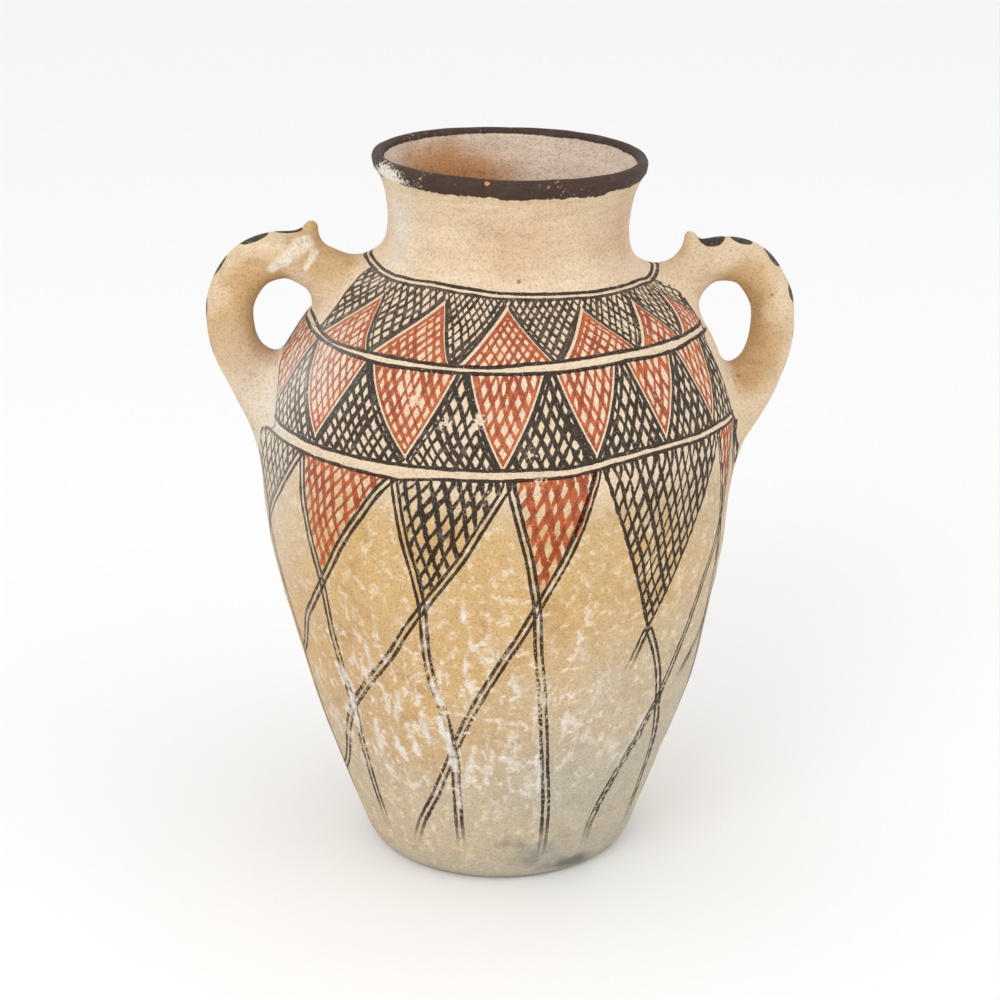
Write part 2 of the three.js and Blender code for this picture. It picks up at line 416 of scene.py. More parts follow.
# Depths are in millimetres, positive outside the clay. Points are an array of x, y, z.
outerLine = wallLine(wallForm)
outerSlope = np.gradient(outerLine[:, 0]) / np.gradient(outerLine[:, 1])


# Undoes the lean, the drop and the swells: distance from the axis, height and turn
def upright(p, f=wallForm):
    x, y, z = p.T
    level = z + smoothStep(z, f["shoulderHeight"], f["height"]) * f["rimDrop"] * x
    x = x - smoothStep(level, f["leanStart"], f["height"]) * f["neckLean"]
    radius = np.hypot(x, y) + 1e-9
    swell = sum(f[s + "Swell"] * np.maximum(0, k * x / radius) ** 2
                * np.exp(-((level - f[s + "SwellHeight"]) / f[s + "SwellReach"]) ** 2)
                for s, k in (("left", -1), ("right", 1)))
    return radius - swell * (radius > f["footRadius"] / 2), level, np.arctan2(y, x)


def wallDepth(p):
    radius, level, _ = upright(p)
    line = np.interp(level, outerLine[:, 1], outerLine[:, 0])
    slope = np.interp(level, outerLine[:, 1], outerSlope)
    return (radius - line) / np.sqrt(1 + slope * slope)


for handle in coilForm["handles"]:
    handle["line"], handle["length"] = middleLine(handle["middle"], 56)


def coilDepth(p, h, f=coilForm):  # also gives the run along the coil and the turn round it
    x, y = p[:, 0] * h["side"], p[:, 1] * h["side"]
    r = np.hypot(x, y)
    sideways = r * np.arctan2(y, x)
    flat = np.stack([r, p[:, 2]], 1)
    a, b = h["line"][:-1], h["line"][1:]
    step = b - a
    t = np.einsum("nmk,mk->nm", flat[:, None] - a[None], step) / (step ** 2).sum(1)
    t = np.clip(t, 0, 1)
    near = a[None] + t[..., None] * step[None]
    gap = ((flat[:, None] - near) ** 2).sum(2)
    best = gap.argmin(1)
    row = np.arange(len(p))
    run = step[best] / np.hypot(*step[best].T)[:, None]
    off = flat - near[row, best]
    ridge = -off[:, 0] * run[:, 1] + off[:, 1] * run[:, 0]
    ahead = (off * run).sum(1)
    fromStart = (best + t[row, best]) / len(a) * h["length"]
    fromEnd = h["length"] - fromStart
    upper = np.maximum(0, 1 - fromStart / f["upperFlare"]) ** 3
    lower = np.maximum(0, 1 - fromEnd / f["lowerFlare"]) ** 3
    fill = f["cornerFill"] * np.exp(-((fromEnd - f["cornerPlace"]) / f["cornerReach"]) ** 2)
    tall = h["coilRadius"] + h["upperRise"] * upper + fill * (ridge < 0)
    wide = h["coilRadius"] + f["upperSpread"] * upper + f["lowerSpread"] * lower
    g = np.sqrt((ridge / tall) ** 2 + (sideways / wide) ** 2 + (ahead / tall) ** 2) + 1e-6
    pull = np.sqrt((ridge / tall ** 2) ** 2 + (sideways / wide ** 2) ** 2
                   + (ahead / tall ** 2) ** 2) + 1e-9
    depth = (g - 1) * g / pull
    return depth, fromStart, np.arctan2(sideways, ridge), flat, sideways


def knobDepth(flat, sideways, h, f=coilForm):
    foot, tip = np.array(h["knobFoot"]), np.array(h["knobTip"])
    axis = tip - foot
    tall = np.hypot(*axis)
    last = 1 - f["knobTipRadius"] / tall
    t = np.clip(((flat - foot) @ axis) / tall ** 2, 0, last)
    radius = h["knobBaseRadius"] + (f["knobTipRadius"] - h["knobBaseRadius"]) * (t / last) ** 0.8
    off = flat - foot - t[:, None] * axis
    return np.sqrt((off ** 2).sum(1) + sideways ** 2) - radius


def melt(a, b, reach):  # joins two depths with a smooth fillet
    over = np.maximum(reach - np.abs(a - b), 0) / reach
    return np.minimum(a, b) - over * over * reach / 4


def potDepth(p, h):
    coil, _, _, flat, sideways = coilDepth(p, h)
    coil = melt(coil, knobDepth(flat, sideways, h), coilForm["knobBlend"])
    return melt(wallDepth(p), coil, coilForm["rootBlend"])


def settle(p, h, times):  # moves points on to the joined surface
    for _ in range(times):
        depth = potDepth(p, h)
        rises = [(potDepth(p + np.eye(3)[k] * 0.05, h) - depth) / 0.05 for k in range(3)]
        slope = np.stack(rises, 1)
        p = p - (depth / ((slope ** 2).sum(1) + 1e-6))[:, None] * slope
    return p


def coords(mesh):
    co = np.empty(len(mesh.vertices) * 3, np.float64)
    mesh.vertices.foreach_get("co", co)
    return co.reshape(-1, 3) / mm


def ints(source, name, count, wide=1):
    values = np.empty(count * wide, np.int32)
    source.foreach_get(name, values)
    return values.reshape(-1, wide) if wide > 1 else values


def setCoords(mesh, p):
    mesh.vertices.foreach_set("co", (p * mm).astype(np.float32).ravel())
    mesh.update()


def knobMesh(h, f=coilForm):  # a plain cone, to give the joined clay points for the knob
    foot, tip = np.array(h["knobFoot"]), np.array(h["knobTip"])
    tall = np.hypot(*(tip - foot))
    axis = (tip - foot) / tall
    across = np.array([axis[1], -axis[0]])
    sides, rows = 28, 16
    points, faces = [], []
    for k in range(rows):
        t = k / (rows - 1)
        radius = max(0.35, h["knobBaseRadius"] + (f["knobTipRadius"] - h["knobBaseRadius"]) * t)
        if t > 0.86:
            radius *= math.sqrt(max(0.02, 1 - ((t - 0.86) / 0.14) ** 2))
        for i in range(sides):
            a = 2 * math.pi * i / sides
            q = foot + axis * t * tall + across * math.cos(a) * radius
            points.append((q[0] * h["side"] * mm, math.sin(a) * radius * h["side"] * mm,
                           q[1] * mm))
    for k in range(rows - 1):
        for i in range(sides):
            j = (i + 1) % sides
            faces.append((k * sides + i, k * sides + j, (k + 1) * sides + j, (k + 1) * sides + i))
    faces.append(tuple(range(sides))[::-1])
    faces.append(tuple(range((rows - 1) * sides, rows * sides)))
    mesh = bpy.data.meshes.new("knob")
    mesh.from_pydata(points, [], faces)
    return mesh


def united(first, others):  # one closed body out of several
    host = placed("clayBody", first)
    helpers = [placed("clayAdded", mesh) for mesh in others]
    for helper in helpers:
        cut = host.modifiers.new("add", "BOOLEAN")
        cut.operation, cut.solver, cut.object = "UNION", "MANIFOLD", helper
    bpy.context.view_layer.update()
    seen = host.evaluated_get(bpy.context.evaluated_depsgraph_get())
    mesh = bpy.data.meshes.new_from_object(seen)
    for o in helpers + [host]:
        bpy.data.objects.remove(o)
    return mesh


def lidded(bm):  # a lid over the crest makes the outer skin a closed body for the union
    bmesh.ops.holes_fill(bm, edges=[e for e in bm.edges if e.is_boundary], sides=0)


def hollowed(bm, f=wallForm):  # the lid comes off again, and the inner skin joins the outer one
    crest = (f["mouthRadius"] - f["lipThickness"] / 2) * mm
    axis = Vector((f["neckLean"] * mm, 0))
    middles = [(face, face.calc_center_median()) for face in bm.faces]
    bmesh.ops.delete(bm, context="FACES", geom=[
        face for face, at in middles
        if at.z > f["lidAbove"] * mm and (at.xy - axis).length < crest * 0.9999])
    bm.from_mesh(innerMesh)
    bmesh.ops.remove_doubles(bm, verts=bm.verts, dist=3e-5)
    bmesh.ops.triangulate(bm, faces=[face for face in bm.faces if len(face.verts) > 4])


added = [edited(m, allFacing) for h in coilForm["handles"]
         for m in (rolledCoil(h, coilForm), knobMesh(h))]
bodyMesh = united(edited(outerMesh, lidded, allFacing), added)
print("handles joined:", len(bodyMesh.polygons), "faces")
vaseMesh = edited(bodyMesh, hollowed, allFacing)
vaseMesh.name = "vase"
p = coords(vaseMesh)
print("vertices", len(p), "faces", len(vaseMesh.polygons))

# Smooths the roots: points near a handle are evened out and laid on the joined surface
edges = ints(vaseMesh.edges, "vertices", len(vaseMesh.edges), 2)
wallAway = wallDepth(p)
onOutside = wallAway > -3.0
for h in coilForm["handles"]:
    out, across, low, high = coilForm["room"]
    towards = (p[:, 0] * h["side"] > out) & (np.abs(p[:, 1]) < across) & onOutside
    towards &= (p[:, 2] > low) & (p[:, 2] < high)
    near = np.flatnonzero(towards)
    coil, _, _, flat, sideways = coilDepth(p[near], h)
    knob = knobDepth(flat, sideways, h)
    close = coil < 30
    near, coil, knob = near[close], coil[close], knob[close]
    rooted = np.abs(wallAway[near] - coil) < coilForm["rootBlend"] * 1.15
    knobby = np.abs(coil - knob) < coilForm["knobBlend"] * 1.2
    loose = np.zeros(len(p), bool)
    loose[near[rooted | knobby]] = True
    inPlay = edges[loose[edges[:, 0]] | loose[edges[:, 1]]]
    count, looseAt = np.zeros(len(p)), np.flatnonzero(loose)
    for k in (0, 1):
        np.add.at(count, inPlay[:, k], 1)
    for turn in range(12):
        total = np.zeros_like(p)
        for k in (0, 1):
            np.add.at(total, inPlay[:, k], p[inPlay[:, 1 - k]])
        mean = total[looseAt] / count[looseAt][:, None]
        p[looseAt] += 0.5 * (mean - p[looseAt])
        if turn % 2:
            p[looseAt] = settle(p[looseAt], h, 1)
    p[near] = settle(p[near], h, 3)
print("roots smoothed")
setCoords(vaseMesh, p)


def wander(p, seed, sizes, count=7):  # smooth unevenness from a few crossing waves
    rng = np.random.default_rng(seed)
    total = np.zeros(len(p))
    for _ in range(count):
        way = rng.normal(size=3)
        way /= np.linalg.norm(way)
        total += np.sin(p @ way * 2 * math.pi / rng.uniform(*sizes) + rng.uniform(0, 6.3))
    return total / count


normals = np.empty(len(p) * 3, np.float32)
vaseMesh.vertices.foreach_get("normal", normals)
normals = normals.reshape(-1, 3)
bump = (wander(p, 11, (45, 110)) + 0.35 * wander(p, 12, (14, 30))) * wallForm["unevenness"] * 2
bump *= smoothStep(p[:, 2], 1.0, 14.0)  # the foot stays flat
setCoords(vaseMesh, p + normals * bump[:, None])

# The painter's lines. Places are degrees round the pot from its front, negative to the left
# as seen from there, and heights in millimetres.
painting = {
    "neckRing": [
        (-90, 346.6), (-82.5, 345.6), (-74, 343.9), (-62, 341.9), (-50, 342.3), (-40, 343),
        (-30, 342.5), (-20, 342), (-10, 340.7), (0, 340.4), (10, 340), (30, 338.5), (50, 337.2),
        (62, 336.2), (75, 334.4), (84.5, 336), (90, 338.4), (95.5, 336), (105, 334.4), (118, 336),
        (140, 337), (180, 339), (-140, 340), (-118, 341.8), (-106, 343.9), (-97.5, 345.6)],
    "shoulderTop": [
        (-87, 317.2), (-74.2, 314.2), (-64.9, 312.6), (-50, 313.2), (-30, 312.9), (-10, 312.6),
        (0, 314), (10, 314.5), (25, 315), (40, 314.2), (50, 313.3), (62.9, 312.2), (75, 310.4),
        (105, 310.6), (140, 312), (180, 313), (-140, 314), (-106, 314.6), (-93, 317)],
    "shoulderFoot": [
        (-87, 312.6), (-70, 311.2), (-60, 310.6), (-50, 310.2), (-40, 309.2), (-25, 310),
        (-10, 309.8), (10, 309.8), (30, 310.5), (40, 309.5), (50, 308.6), (59.8, 309),
        (68.5, 307.7), (79.8, 305.1), (100, 305.5), (140, 308), (180, 309), (-140, 310),
        (-100, 311.4)],
    "bellyTop": [
        (-75, 267.4), (-70, 266), (-50, 265), (10, 265), (15, 266.5), (20, 268), (30, 269),
        (40, 268.2), (50, 267), (60, 266), (70, 263.6), (76, 260.6), (104, 260.6), (112, 264),
        (140, 265), (180, 266), (-140, 266), (-105, 267)],
    "bellyFoot": [
        (-80.6, 258.9), (-60, 258.7), (-40, 258), (-30, 257), (-20, 259.5), (0, 259.8),
        (10, 260.5), (15, 262), (20, 263.5), (30, 265), (40, 264.5), (50, 263), (60, 261.8),
        (75, 258.5), (105, 258.5), (140, 260), (180, 260), (-140, 260), (-100, 259)],
    "strokeSpacing": (3.0, 2.75, 2.9),  # degrees between the hatching strokes, by band
    "patternHeights": (4.0, 350.0),  # lowest and highest place that the pattern reaches
    "ringHalf": 1.55,  # from the middle of the neck ring to each of its two lines
    # degrees from the middle of a handle, distance of the neck ring from the pot's axis there
    "ringLeft": [(0, 75.4), (8, 75.0), (16, 74.2), (28, 73.2)],
    "ringRight": [(0, 83.0), (5.5, 82.0), (15, 79.2), (28, 77.0)],
    "ringByAxis": 322.0,       # only above this height
    "ringByAxisEnds": (14, 26),  # degrees from the middle of a handle where this fades
    # degrees from the middle of a handle at which the shoulder and belly rings end
    "ringEndLeft": [(255, 9.0), (262, 12.0), (268, 15.5), (300, -5.0)],
    "ringEndRight": [(255, 14.5), (300, 14.5), (304, 10.0), (312, 12.0)],
    # left foot, right foot, tip, height of the tip
    "upperTriangles": [
        (-178, -155, -166, 334), (-152, -128, -140, 334), (-126, -101, -113, 334),
        (-98, -74, -86, 333), (-70, -48.5, -60.5, 333), (-45, -21.8, -30.7, 335.5),
        (-17.5, 7.2, -5.5, 334.5), (11.8, 34.2, 24, 332.5), (37.5, 53.5, 49, 330.5),
        (58.5, 78, 70, 327), (82, 104, 94, 333), (108, 131, 120, 334), (135, 158, 147, 334),
        (161, 179, 170, 333)],
    "middleTriangles": [
        (-173, -150, -162, 270), (-147, -124, -135, 270), (-121, -98, -108, 270),
        (-95, -72.3, -78, 270), (-69.8, -46.8, -55, 270.5), (-43.3, -19.3, -28.5, 270.5),
        (-14.5, 4.2, -5.7, 266.5), (8.5, 25, 16.2, 271), (30, 45.2, 36.2, 273),
        (50, 65, 56, 271.5), (70, 86, 77, 271), (90, 112, 100, 270), (116, 138, 127, 270),
        (142, 164, 153, 270), (168, 184, 176, 270)],
    # the two sides of each pendant from its top down, first the one that falls to the right
    "pendants": [
        ([(-88, 258), (-84, 230), (-80, 207), (-78.5, 187), (-78, 150), (-78, 100), (-78, 40)],
         [(-59.5, 258), (-70, 230), (-80, 207), (-86, 187), (-92, 165), (-100, 130), (-110, 90),
          (-118, 50)]),
        ([(-59, 258), (-58.5, 230), (-56.5, 210), (-54, 187), (-53.8, 158), (-53, 126), (-52, 112),
          (-52.5, 98), (-53.2, 80), (-54.5, 60), (-55, 34)],
         [(-31, 257.5), (-35, 250), (-40, 234), (-47, 212), (-50, 200), (-54, 187), (-60, 170),
          (-65, 159), (-70, 140), (-80, 122), (-92, 90), (-100, 60)]),
        ([(-31, 257), (-29, 226), (-27, 210), (-24.8, 186), (-24.8, 160), (-24, 140), (-21, 118),
          (-20.5, 100), (-19.5, 96), (-20, 70), (-21, 30)],
         [(-4.5, 257), (-10, 236), (-15, 216), (-19, 204), (-24.8, 186), (-30, 170), (-35, 152),
          (-40, 140), (-45, 128), (-50, 116), (-52, 112), (-58, 94), (-62, 80), (-67, 66),
          (-70, 60), (-80, 48), (-90, 36)]),
        ([(-4, 257), (-1, 230), (0.5, 216), (2.5, 188), (3.2, 158), (4.5, 140), (5.3, 120),
          (6.5, 100), (7.5, 80), (9, 60), (10, 34)],
         [(16, 260), (13, 236), (10.5, 222), (8, 210), (2.5, 188), (-2, 168), (-5, 158), (-9, 142),
          (-12, 130), (-16, 114), (-19.5, 96), (-24, 76), (-27, 64), (-30, 54), (-34, 44),
          (-40, 24)]),
        ([(17.5, 262), (33.5, 164), (36, 156), (39, 142), (41, 132), (43, 120), (44, 112),
          (46, 100), (50, 80), (53, 60), (55, 30)],
         [(58, 260), (33.5, 164), (29, 140), (19, 110), (7, 70), (0, 30)]),
        ([(58.5, 260), (62, 226), (63, 210), (65, 190), (66, 160), (67, 120), (68, 60)],
         [(73, 260), (63, 210), (60, 190), (57, 180), (54, 166), (51, 150), (48, 134), (45, 118),
          (43, 108), (40, 94), (37, 80), (32, 54), (29, 36)]),
        ([(73.5, 260), (79, 205), (80, 150), (81, 60)],
         [(91, 260), (79, 205), (71, 160), (65, 142), (55, 124), (50, 112), (44, 99), (40, 80),
          (36, 50)]),
    ],
    "pendantHeight": 192.0,  # tips of the plainer ones on the far side
    "farPendants": [
        (92, 117), (118, 143), (144, 168), (169, 194), (195, 220), (221, 246), (247, 271)],
    "singleSided": 4,        # the wide black one has single sides
    "fades": {6: 125.0, 4: 150.0},  # heights at which right-hand sides of pendants run out
    # height, half width in degrees of the bare clay round each handle's roots
    "bareLeft": [
        (228, -4), (236, 4), (250, 8), (259, 8.5), (261, 15), (264.4, 15.9), (270.2, 14),
        (274.8, 12.7), (281.4, 10.2), (287.7, 7), (293.5, 4), (298, -3), (312.5, -3), (314, 14),
        (315, 15.4), (319.8, 14.3), (328, 14.7), (337.6, 14.6), (343, 12.6), (347, 9)],
    "bareRight": [
        (230, -4), (240, 6), (251, 8.4), (257, 11.2), (262, 16), (265, 18), (278.3, 18.6),
        (292.5, 19.1), (306, 18.5), (307.5, 12.5), (309, 12.9), (314.4, 12), (322.6, 10.4),
        (329.2, 10.2), (331.5, 12), (336, 14)],
    # height, width of the line drawn along the edge of that bare clay
    "edgeLeft": [
        (250, 0), (262, 0.9), (292, 0.9), (296, 0), (313, 0), (315, 1.3), (341, 1.5), (344, 0)],
    "edgeRight": [
        (232, 0), (240, 4.2), (262, 3.8), (267, 1.4), (296, 1.2), (303, 0.6), (307, 2.4),
        (325, 2.6), (332, 1.7), (338, 1.5), (343, 0)],
}


def smoothLine(points, step=2.0, reach=5.0):  # rounds the corners of a line of (turn, height)
    line = np.array(points, float)[::-1]
    height = np.arange(line[0, 1], line[-1, 1] + step / 2, step)
    turns = np.interp(height, line[:, 1], line[:, 0])
    count = int(3 * reach / step)
    weights = np.exp(-(np.arange(-count, count + 1) * step / reach) ** 2 / 2)
    ends = 2 * turns[0] - turns[count:0:-1], 2 * turns[-1] - turns[-2:-count - 2:-1]
    padded = np.concatenate([ends[0], turns, ends[1]])
    return height, np.convolve(padded, weights / weights.sum(), "valid")


def ringAt(name, turn):
    line = np.array(sorted(painting[name]))
    line = np.concatenate([line - [360, 0], line, line + [360, 0]])
    return np.interp(turn, line[:, 0], line[:, 1])


def pendantLines():
    sides = list(painting["pendants"])
    tip = painting["pendantHeight"]
    for left, right in painting["farPendants"]:
        middle = (left + right) / 2 + 0.8
        sides.append(([(left, 259), (middle, tip), (middle + 1, 130), (middle + 3, 40)],
                      [(right, 259), (middle, tip), (middle - 12, 130), (middle - 26, 70),
                       (middle - 36, 35)]))
    return [(smoothLine(a), smoothLine(b)) for a, b in sides]


pendantSides = pendantLines()


def familyKnots(zone, turn, height):  # where each left side and each right side stands at a point
    if zone == 3:
        left = [np.interp(height, *a) for a, _ in pendantSides]
        right = [np.interp(height, *b) for _, b in pendantSides]
        tops = [a[1][-1] for a, _ in pendantSides], [b[1][-1] for _, b in pendantSides]
    else:
        band, ring = (("upperTriangles", "shoulderTop"),
                      ("middleTriangles", "shoulderFoot"))[zone - 1]
        lists, foot = painting[band], ringAt(ring, turn)
        left, right = [], []
        for a, b, tip, top in lists:
            t = (height - foot) / (top - foot)
            t = t - 0.14 * np.clip(t * (1 - t), 0, 1)
            left.append(a + (tip - a) * t)
            right.append(b + (tip - b) * t)
        tops = [a[0] for a in lists], [a[1] for a in lists]
    result = []
    for lines, top in ((left, tops[0]), (right, tops[1])):
        lines = np.stack(lines, 1)
        gaps = np.diff(np.append(top, top[0] + 360))
        strokes = np.maximum(3, np.round(gaps / painting["strokeSpacing"][zone - 1]))
        total = strokes.sum()
        first = np.concatenate([[0], np.cumsum(strokes)[:-1]])
        count = len(top)
        knots = np.concatenate([lines - 360, lines, lines + 360], 1)
        index = np.concatenate([np.arange(count) + count * k for k in (-1, 0, 1)])
        stroke = np.concatenate([first + total * k for k in (-1, 0, 1)])
        result.append((knots, index, stroke, np.tile(strokes, 3)))
    return result


def familyAt(zone, turn, height):  # side numbers, stroke numbers and degrees between sides
    found = []
    for knots, index, stroke, strokes in familyKnots(zone, turn, height):
        at = np.clip((turn[:, None] >= knots).sum(1) - 1, 0, len(index) - 2)
        row = np.arange(len(turn))
        gap = np.maximum(knots[row, at + 1] - knots[row, at], 0.05)
        t = (turn - knots[row, at]) / gap
        found.append((index[at] + t, stroke[at] + t * strokes[at], gap))
    return found


def write(domain, name, *columns):  # up to three values side by side
    columns = (*columns, *[np.zeros(len(columns[0]))] * (3 - len(columns)))
    layer = vaseMesh.attributes.new(name, "FLOAT_VECTOR", domain)
    layer.data.foreach_set("vector", np.stack(columns, 1).astype(np.float32).ravel())


loops, faces = len(vaseMesh.loops), len(vaseMesh.polygons)
corner = ints(vaseMesh.loops, "vertex_index", loops)
sizes = ints(vaseMesh.polygons, "loop_total", faces)
owner = np.repeat(np.arange(faces), sizes)
vaseMesh.calc_loop_triangles()
triangles = ints(vaseMesh.loop_triangles, "vertices", len(vaseMesh.loop_triangles), 3)


def slopeOf(values):  # how fast a value on the points changes along the surface, per millimetre
    a, b, c = triangles.T
    first, second = p[b] - p[a], p[c] - p[a]
    rise1, rise2 = values[b] - values[a], values[c] - values[a]
    area = np.linalg.norm(np.cross(first, second), axis=1) + 1e-6
    slope = np.sqrt(np.maximum(rise1 ** 2 * (second ** 2).sum(1) + rise2 ** 2 * (first ** 2).sum(1)
                               - 2 * rise1 * rise2 * (first * second).sum(1), 0)) / area
    weight = np.bincount(triangles.ravel(), np.repeat(area, 3), len(p)) + 1e-9
    total = np.bincount(triangles.ravel(), np.repeat(slope * area, 3), len(p))
    return np.maximum(total / weight, 1e-3)


def within180(degrees):
    return (degrees + 180) % 360 - 180


def offHandle(degrees, side):  # degrees round the pot from the middle of a handle
    return np.abs(within180(degrees - 90 * side))


radius, level, turn = upright(p)
turn = within180(np.degrees(turn) + 90)
wallAway = wallDepth(p)
cornerTurn = turn[corner]
faceTurn = cornerTurn[np.concatenate([[0], np.cumsum(sizes)[:-1]])][owner]
turnOff = faceTurn - cornerTurn
cornerTurn = cornerTurn + 360 * (turnOff > 180) - 360 * (turnOff < -180)
cornerLevel = level[corner]
faceLevel = (np.bincount(owner, cornerLevel) / sizes)[owner]

rings = {name: ringAt(name, cornerTurn)
         for name in ("neckRing", "shoulderTop", "shoulderFoot", "bellyTop", "bellyFoot")}
shoulderMiddle = np.bincount(owner, (rings["shoulderTop"] + rings["shoulderFoot"]) / 2) / sizes
bellyMiddle = np.bincount(owner, (rings["bellyTop"] + rings["bellyFoot"]) / 2) / sizes
zone = np.where(faceLevel > shoulderMiddle[owner], 1,
                np.where(faceLevel > bellyMiddle[owner], 2, 3))
sides, strokes, gauge = (np.zeros((loops, 3)) for _ in range(3))
slopeAt = np.interp(cornerLevel, outerLine[:, 1], outerSlope)
pendantCount = len(pendantSides)
for number in (1, 2, 3):
    lowest, highest = painting["patternHeights"]
    at = np.flatnonzero((zone == number) & (cornerLevel < highest) & (cornerLevel > lowest))
    here = familyAt(number, cornerTurn[at], cornerLevel[at])
    above = familyAt(number, cornerTurn[at], cornerLevel[at] + 0.5)
    for k in (0, 1):
        side, stroke, gap = here[k]
        sides[at, k], strokes[at, k] = side, stroke
        across = 1 / (gap * np.radians(1) * np.maximum(radius[corner[at]], 20))
        up = (above[k][0] - side) / 0.5 / np.sqrt(1 + slopeAt[at] ** 2)
        up[np.abs(above[k][0] - side) > 0.4] = 0
        gauge[at, k] = 1 / np.sqrt(across ** 2 + up ** 2)
    sides[at, 2] = number
    strokes[at, 2] = gauge[at, 2] = 1
    for side, name in ((-1, "ringEndLeft"), (1, "ringEndRight")):
        off = offHandle(cornerTurn[at], side)
        end = np.interp(cornerLevel[at], *np.array(painting[name]).T)
        strokes[at, 2] *= np.where(off < 45, smoothStep(off, end - 0.8, end + 0.8), 1)
    if number == 3:
        near = np.round(here[1][0]).astype(int) % pendantCount
        for which, low in painting["fades"].items():
            fade = smoothStep(cornerLevel[at], low - 14, low + 6)
            gauge[at, 2] = np.where(near == which, fade, gauge[at, 2])
for name, values in (("sides", sides), ("strokes", strokes), ("gauge", gauge)):
    write("CORNER", name, *values.T)


def fromRing(name):  # millimetres along the surface from a ring, positive above it
    return (cornerLevel - rings[name]) / slopeOf(level - ringAt(name, turn))[corner]


neckAway = fromRing("neckRing")
# Over the roots the neck ring keeps its distance from the axis
for side, name in ((-1, "ringLeft"), (1, "ringRight")):
    off = offHandle(cornerTurn, side)
    reach = np.interp(off, *np.array(painting[name]).T) - radius[corner]
    near = cornerLevel > painting["ringByAxis"]
    near = (1 - smoothStep(off, *painting["ringByAxisEnds"])) * near
    neckAway = neckAway * (1 - near) + reach / slopeOf(radius)[corner] * near
write("CORNER", "upperRings", neckAway, fromRing("shoulderTop"), fromRing("shoulderFoot"))
write("CORNER", "lowerRings", fromRing("bellyTop"), fromRing("bellyFoot"), cornerLevel)
print("painted lines laid out")

# Bare clay round the roots: distance from its edge (negative on it), width of the drawn edge
bare, edgeWidth = np.full(len(p), 60.0), np.zeros(len(p))
for side, name in ((-1, "Left"), (1, "Right")):
    off = offHandle(turn, side)
    at = off < 60
    half = np.interp(level, *np.array(painting["bare" + name]).T)
    field = off - half
    away = field / slopeOf(field)
    lifted = np.maximum(3 - wallAway, (off - 12) * 2)
    bare[at] = np.minimum(away, lifted)[at]
    edgeWidth[at] = np.interp(level[at], *np.array(painting["edge" + name]).T)
    edgeWidth[at & (lifted < 1.5)] = 0

# Dabs along the top of the handles: millimetres along the coil from its upper root, half length,
# millimetres round it from its top, half width
dabs = {-1: [(43.5, 5, -1.5, 4.6), (57, 5.6, 0, 6), (74, 5, -1, 5), (92, 5, -1, 5),
             (110, 5, -1, 5)],
        1: [(51, 4.9, -1, 7.4), (62.5, 4.6, -1, 5.6), (76.5, 5, -1.5, 5.8), (94.5, 4.4, -2, 6.4),
            (113, 4.6, -1, 5), (131, 4.6, -1, 5)]}
# Rubbed white streaks on the left one: places along and round it, half width
wipes = [([(38, 8), (41, 13.7), (46, 20)], 4.0), ([(32.8, 10.8), (34.2, 21)], 2.0),
         ([(46, 19), (54, 23)], 3.4)]


def nearTo(x, y, points):  # distance to a line of points in the plane
    best = np.full(len(x), 1e9)
    for (a, b), (c, d) in zip(points, points[1:]):
        dx, dy = c - a, d - b
        t = np.clip(((x - a) * dx + (y - b) * dy) / max(dx * dx + dy * dy, 1e-6), 0, 1)
        best = np.minimum(best, np.hypot(x - a - t * dx, y - b - t * dy))
    return best


dab, shade, wipe = np.full(len(p), -9.0), np.zeros(len(p)), np.zeros(len(p))
for h in coilForm["handles"]:
    at = np.flatnonzero((p[:, 0] * h["side"] > 40) & (p[:, 2] > 170) & (wallAway > -3))
    depth, run, around, flat, sideways = coilDepth(p[at], h)
    arc = around * h["coilRadius"]
    onTop = (depth < 4) & (np.cos(around) > 0)
    for middle, long, shift, wide in dabs[h["side"]]:
        mark = (1 - np.hypot((run - middle) / long, (arc - shift) / wide)) * min(long, wide)
        dab[at] = np.maximum(dab[at], np.where(onTop, mark, -9))
    if h["side"] < 0:
        for points, wide in wipes:
            rubbed = np.exp(-(nearTo(run, arc, points) / wide) ** 2) * (depth < 4)
            wipe[at] = np.maximum(wipe[at], rubbed)
    # painted shade: the inner side of each loop, facing the hole, is darkened below its upper root
    under = np.clip(-np.cos(around), 0, 1) * np.clip(1 - depth / 8, 0, 1)
    shade[at] = under * smoothStep(run, 25, 50)


def blot(turnMiddle, heightMiddle, turnReach, heightReach):
    off = within180(turn - turnMiddle)
    return np.exp(-(off / turnReach) ** 2 - ((level - heightMiddle) / heightReach) ** 2)


def ball(x, y, z, reach):
    return np.exp(-((p - (x, y, z)) ** 2).sum(1) / reach ** 2)


def streak(points, width):  # closeness to a line of places on the wall
    scale = np.radians(1) * 118
    return np.exp(-(nearTo(turn * scale, level, [(a * scale, b) for a, b in points]) / width) ** 2)


def gathered(shape, marks, other=0.0):  # the first number of a mark is its strength
    return np.clip(sum((k * shape(*rest) for k, *rest in marks), other), 0, 1)


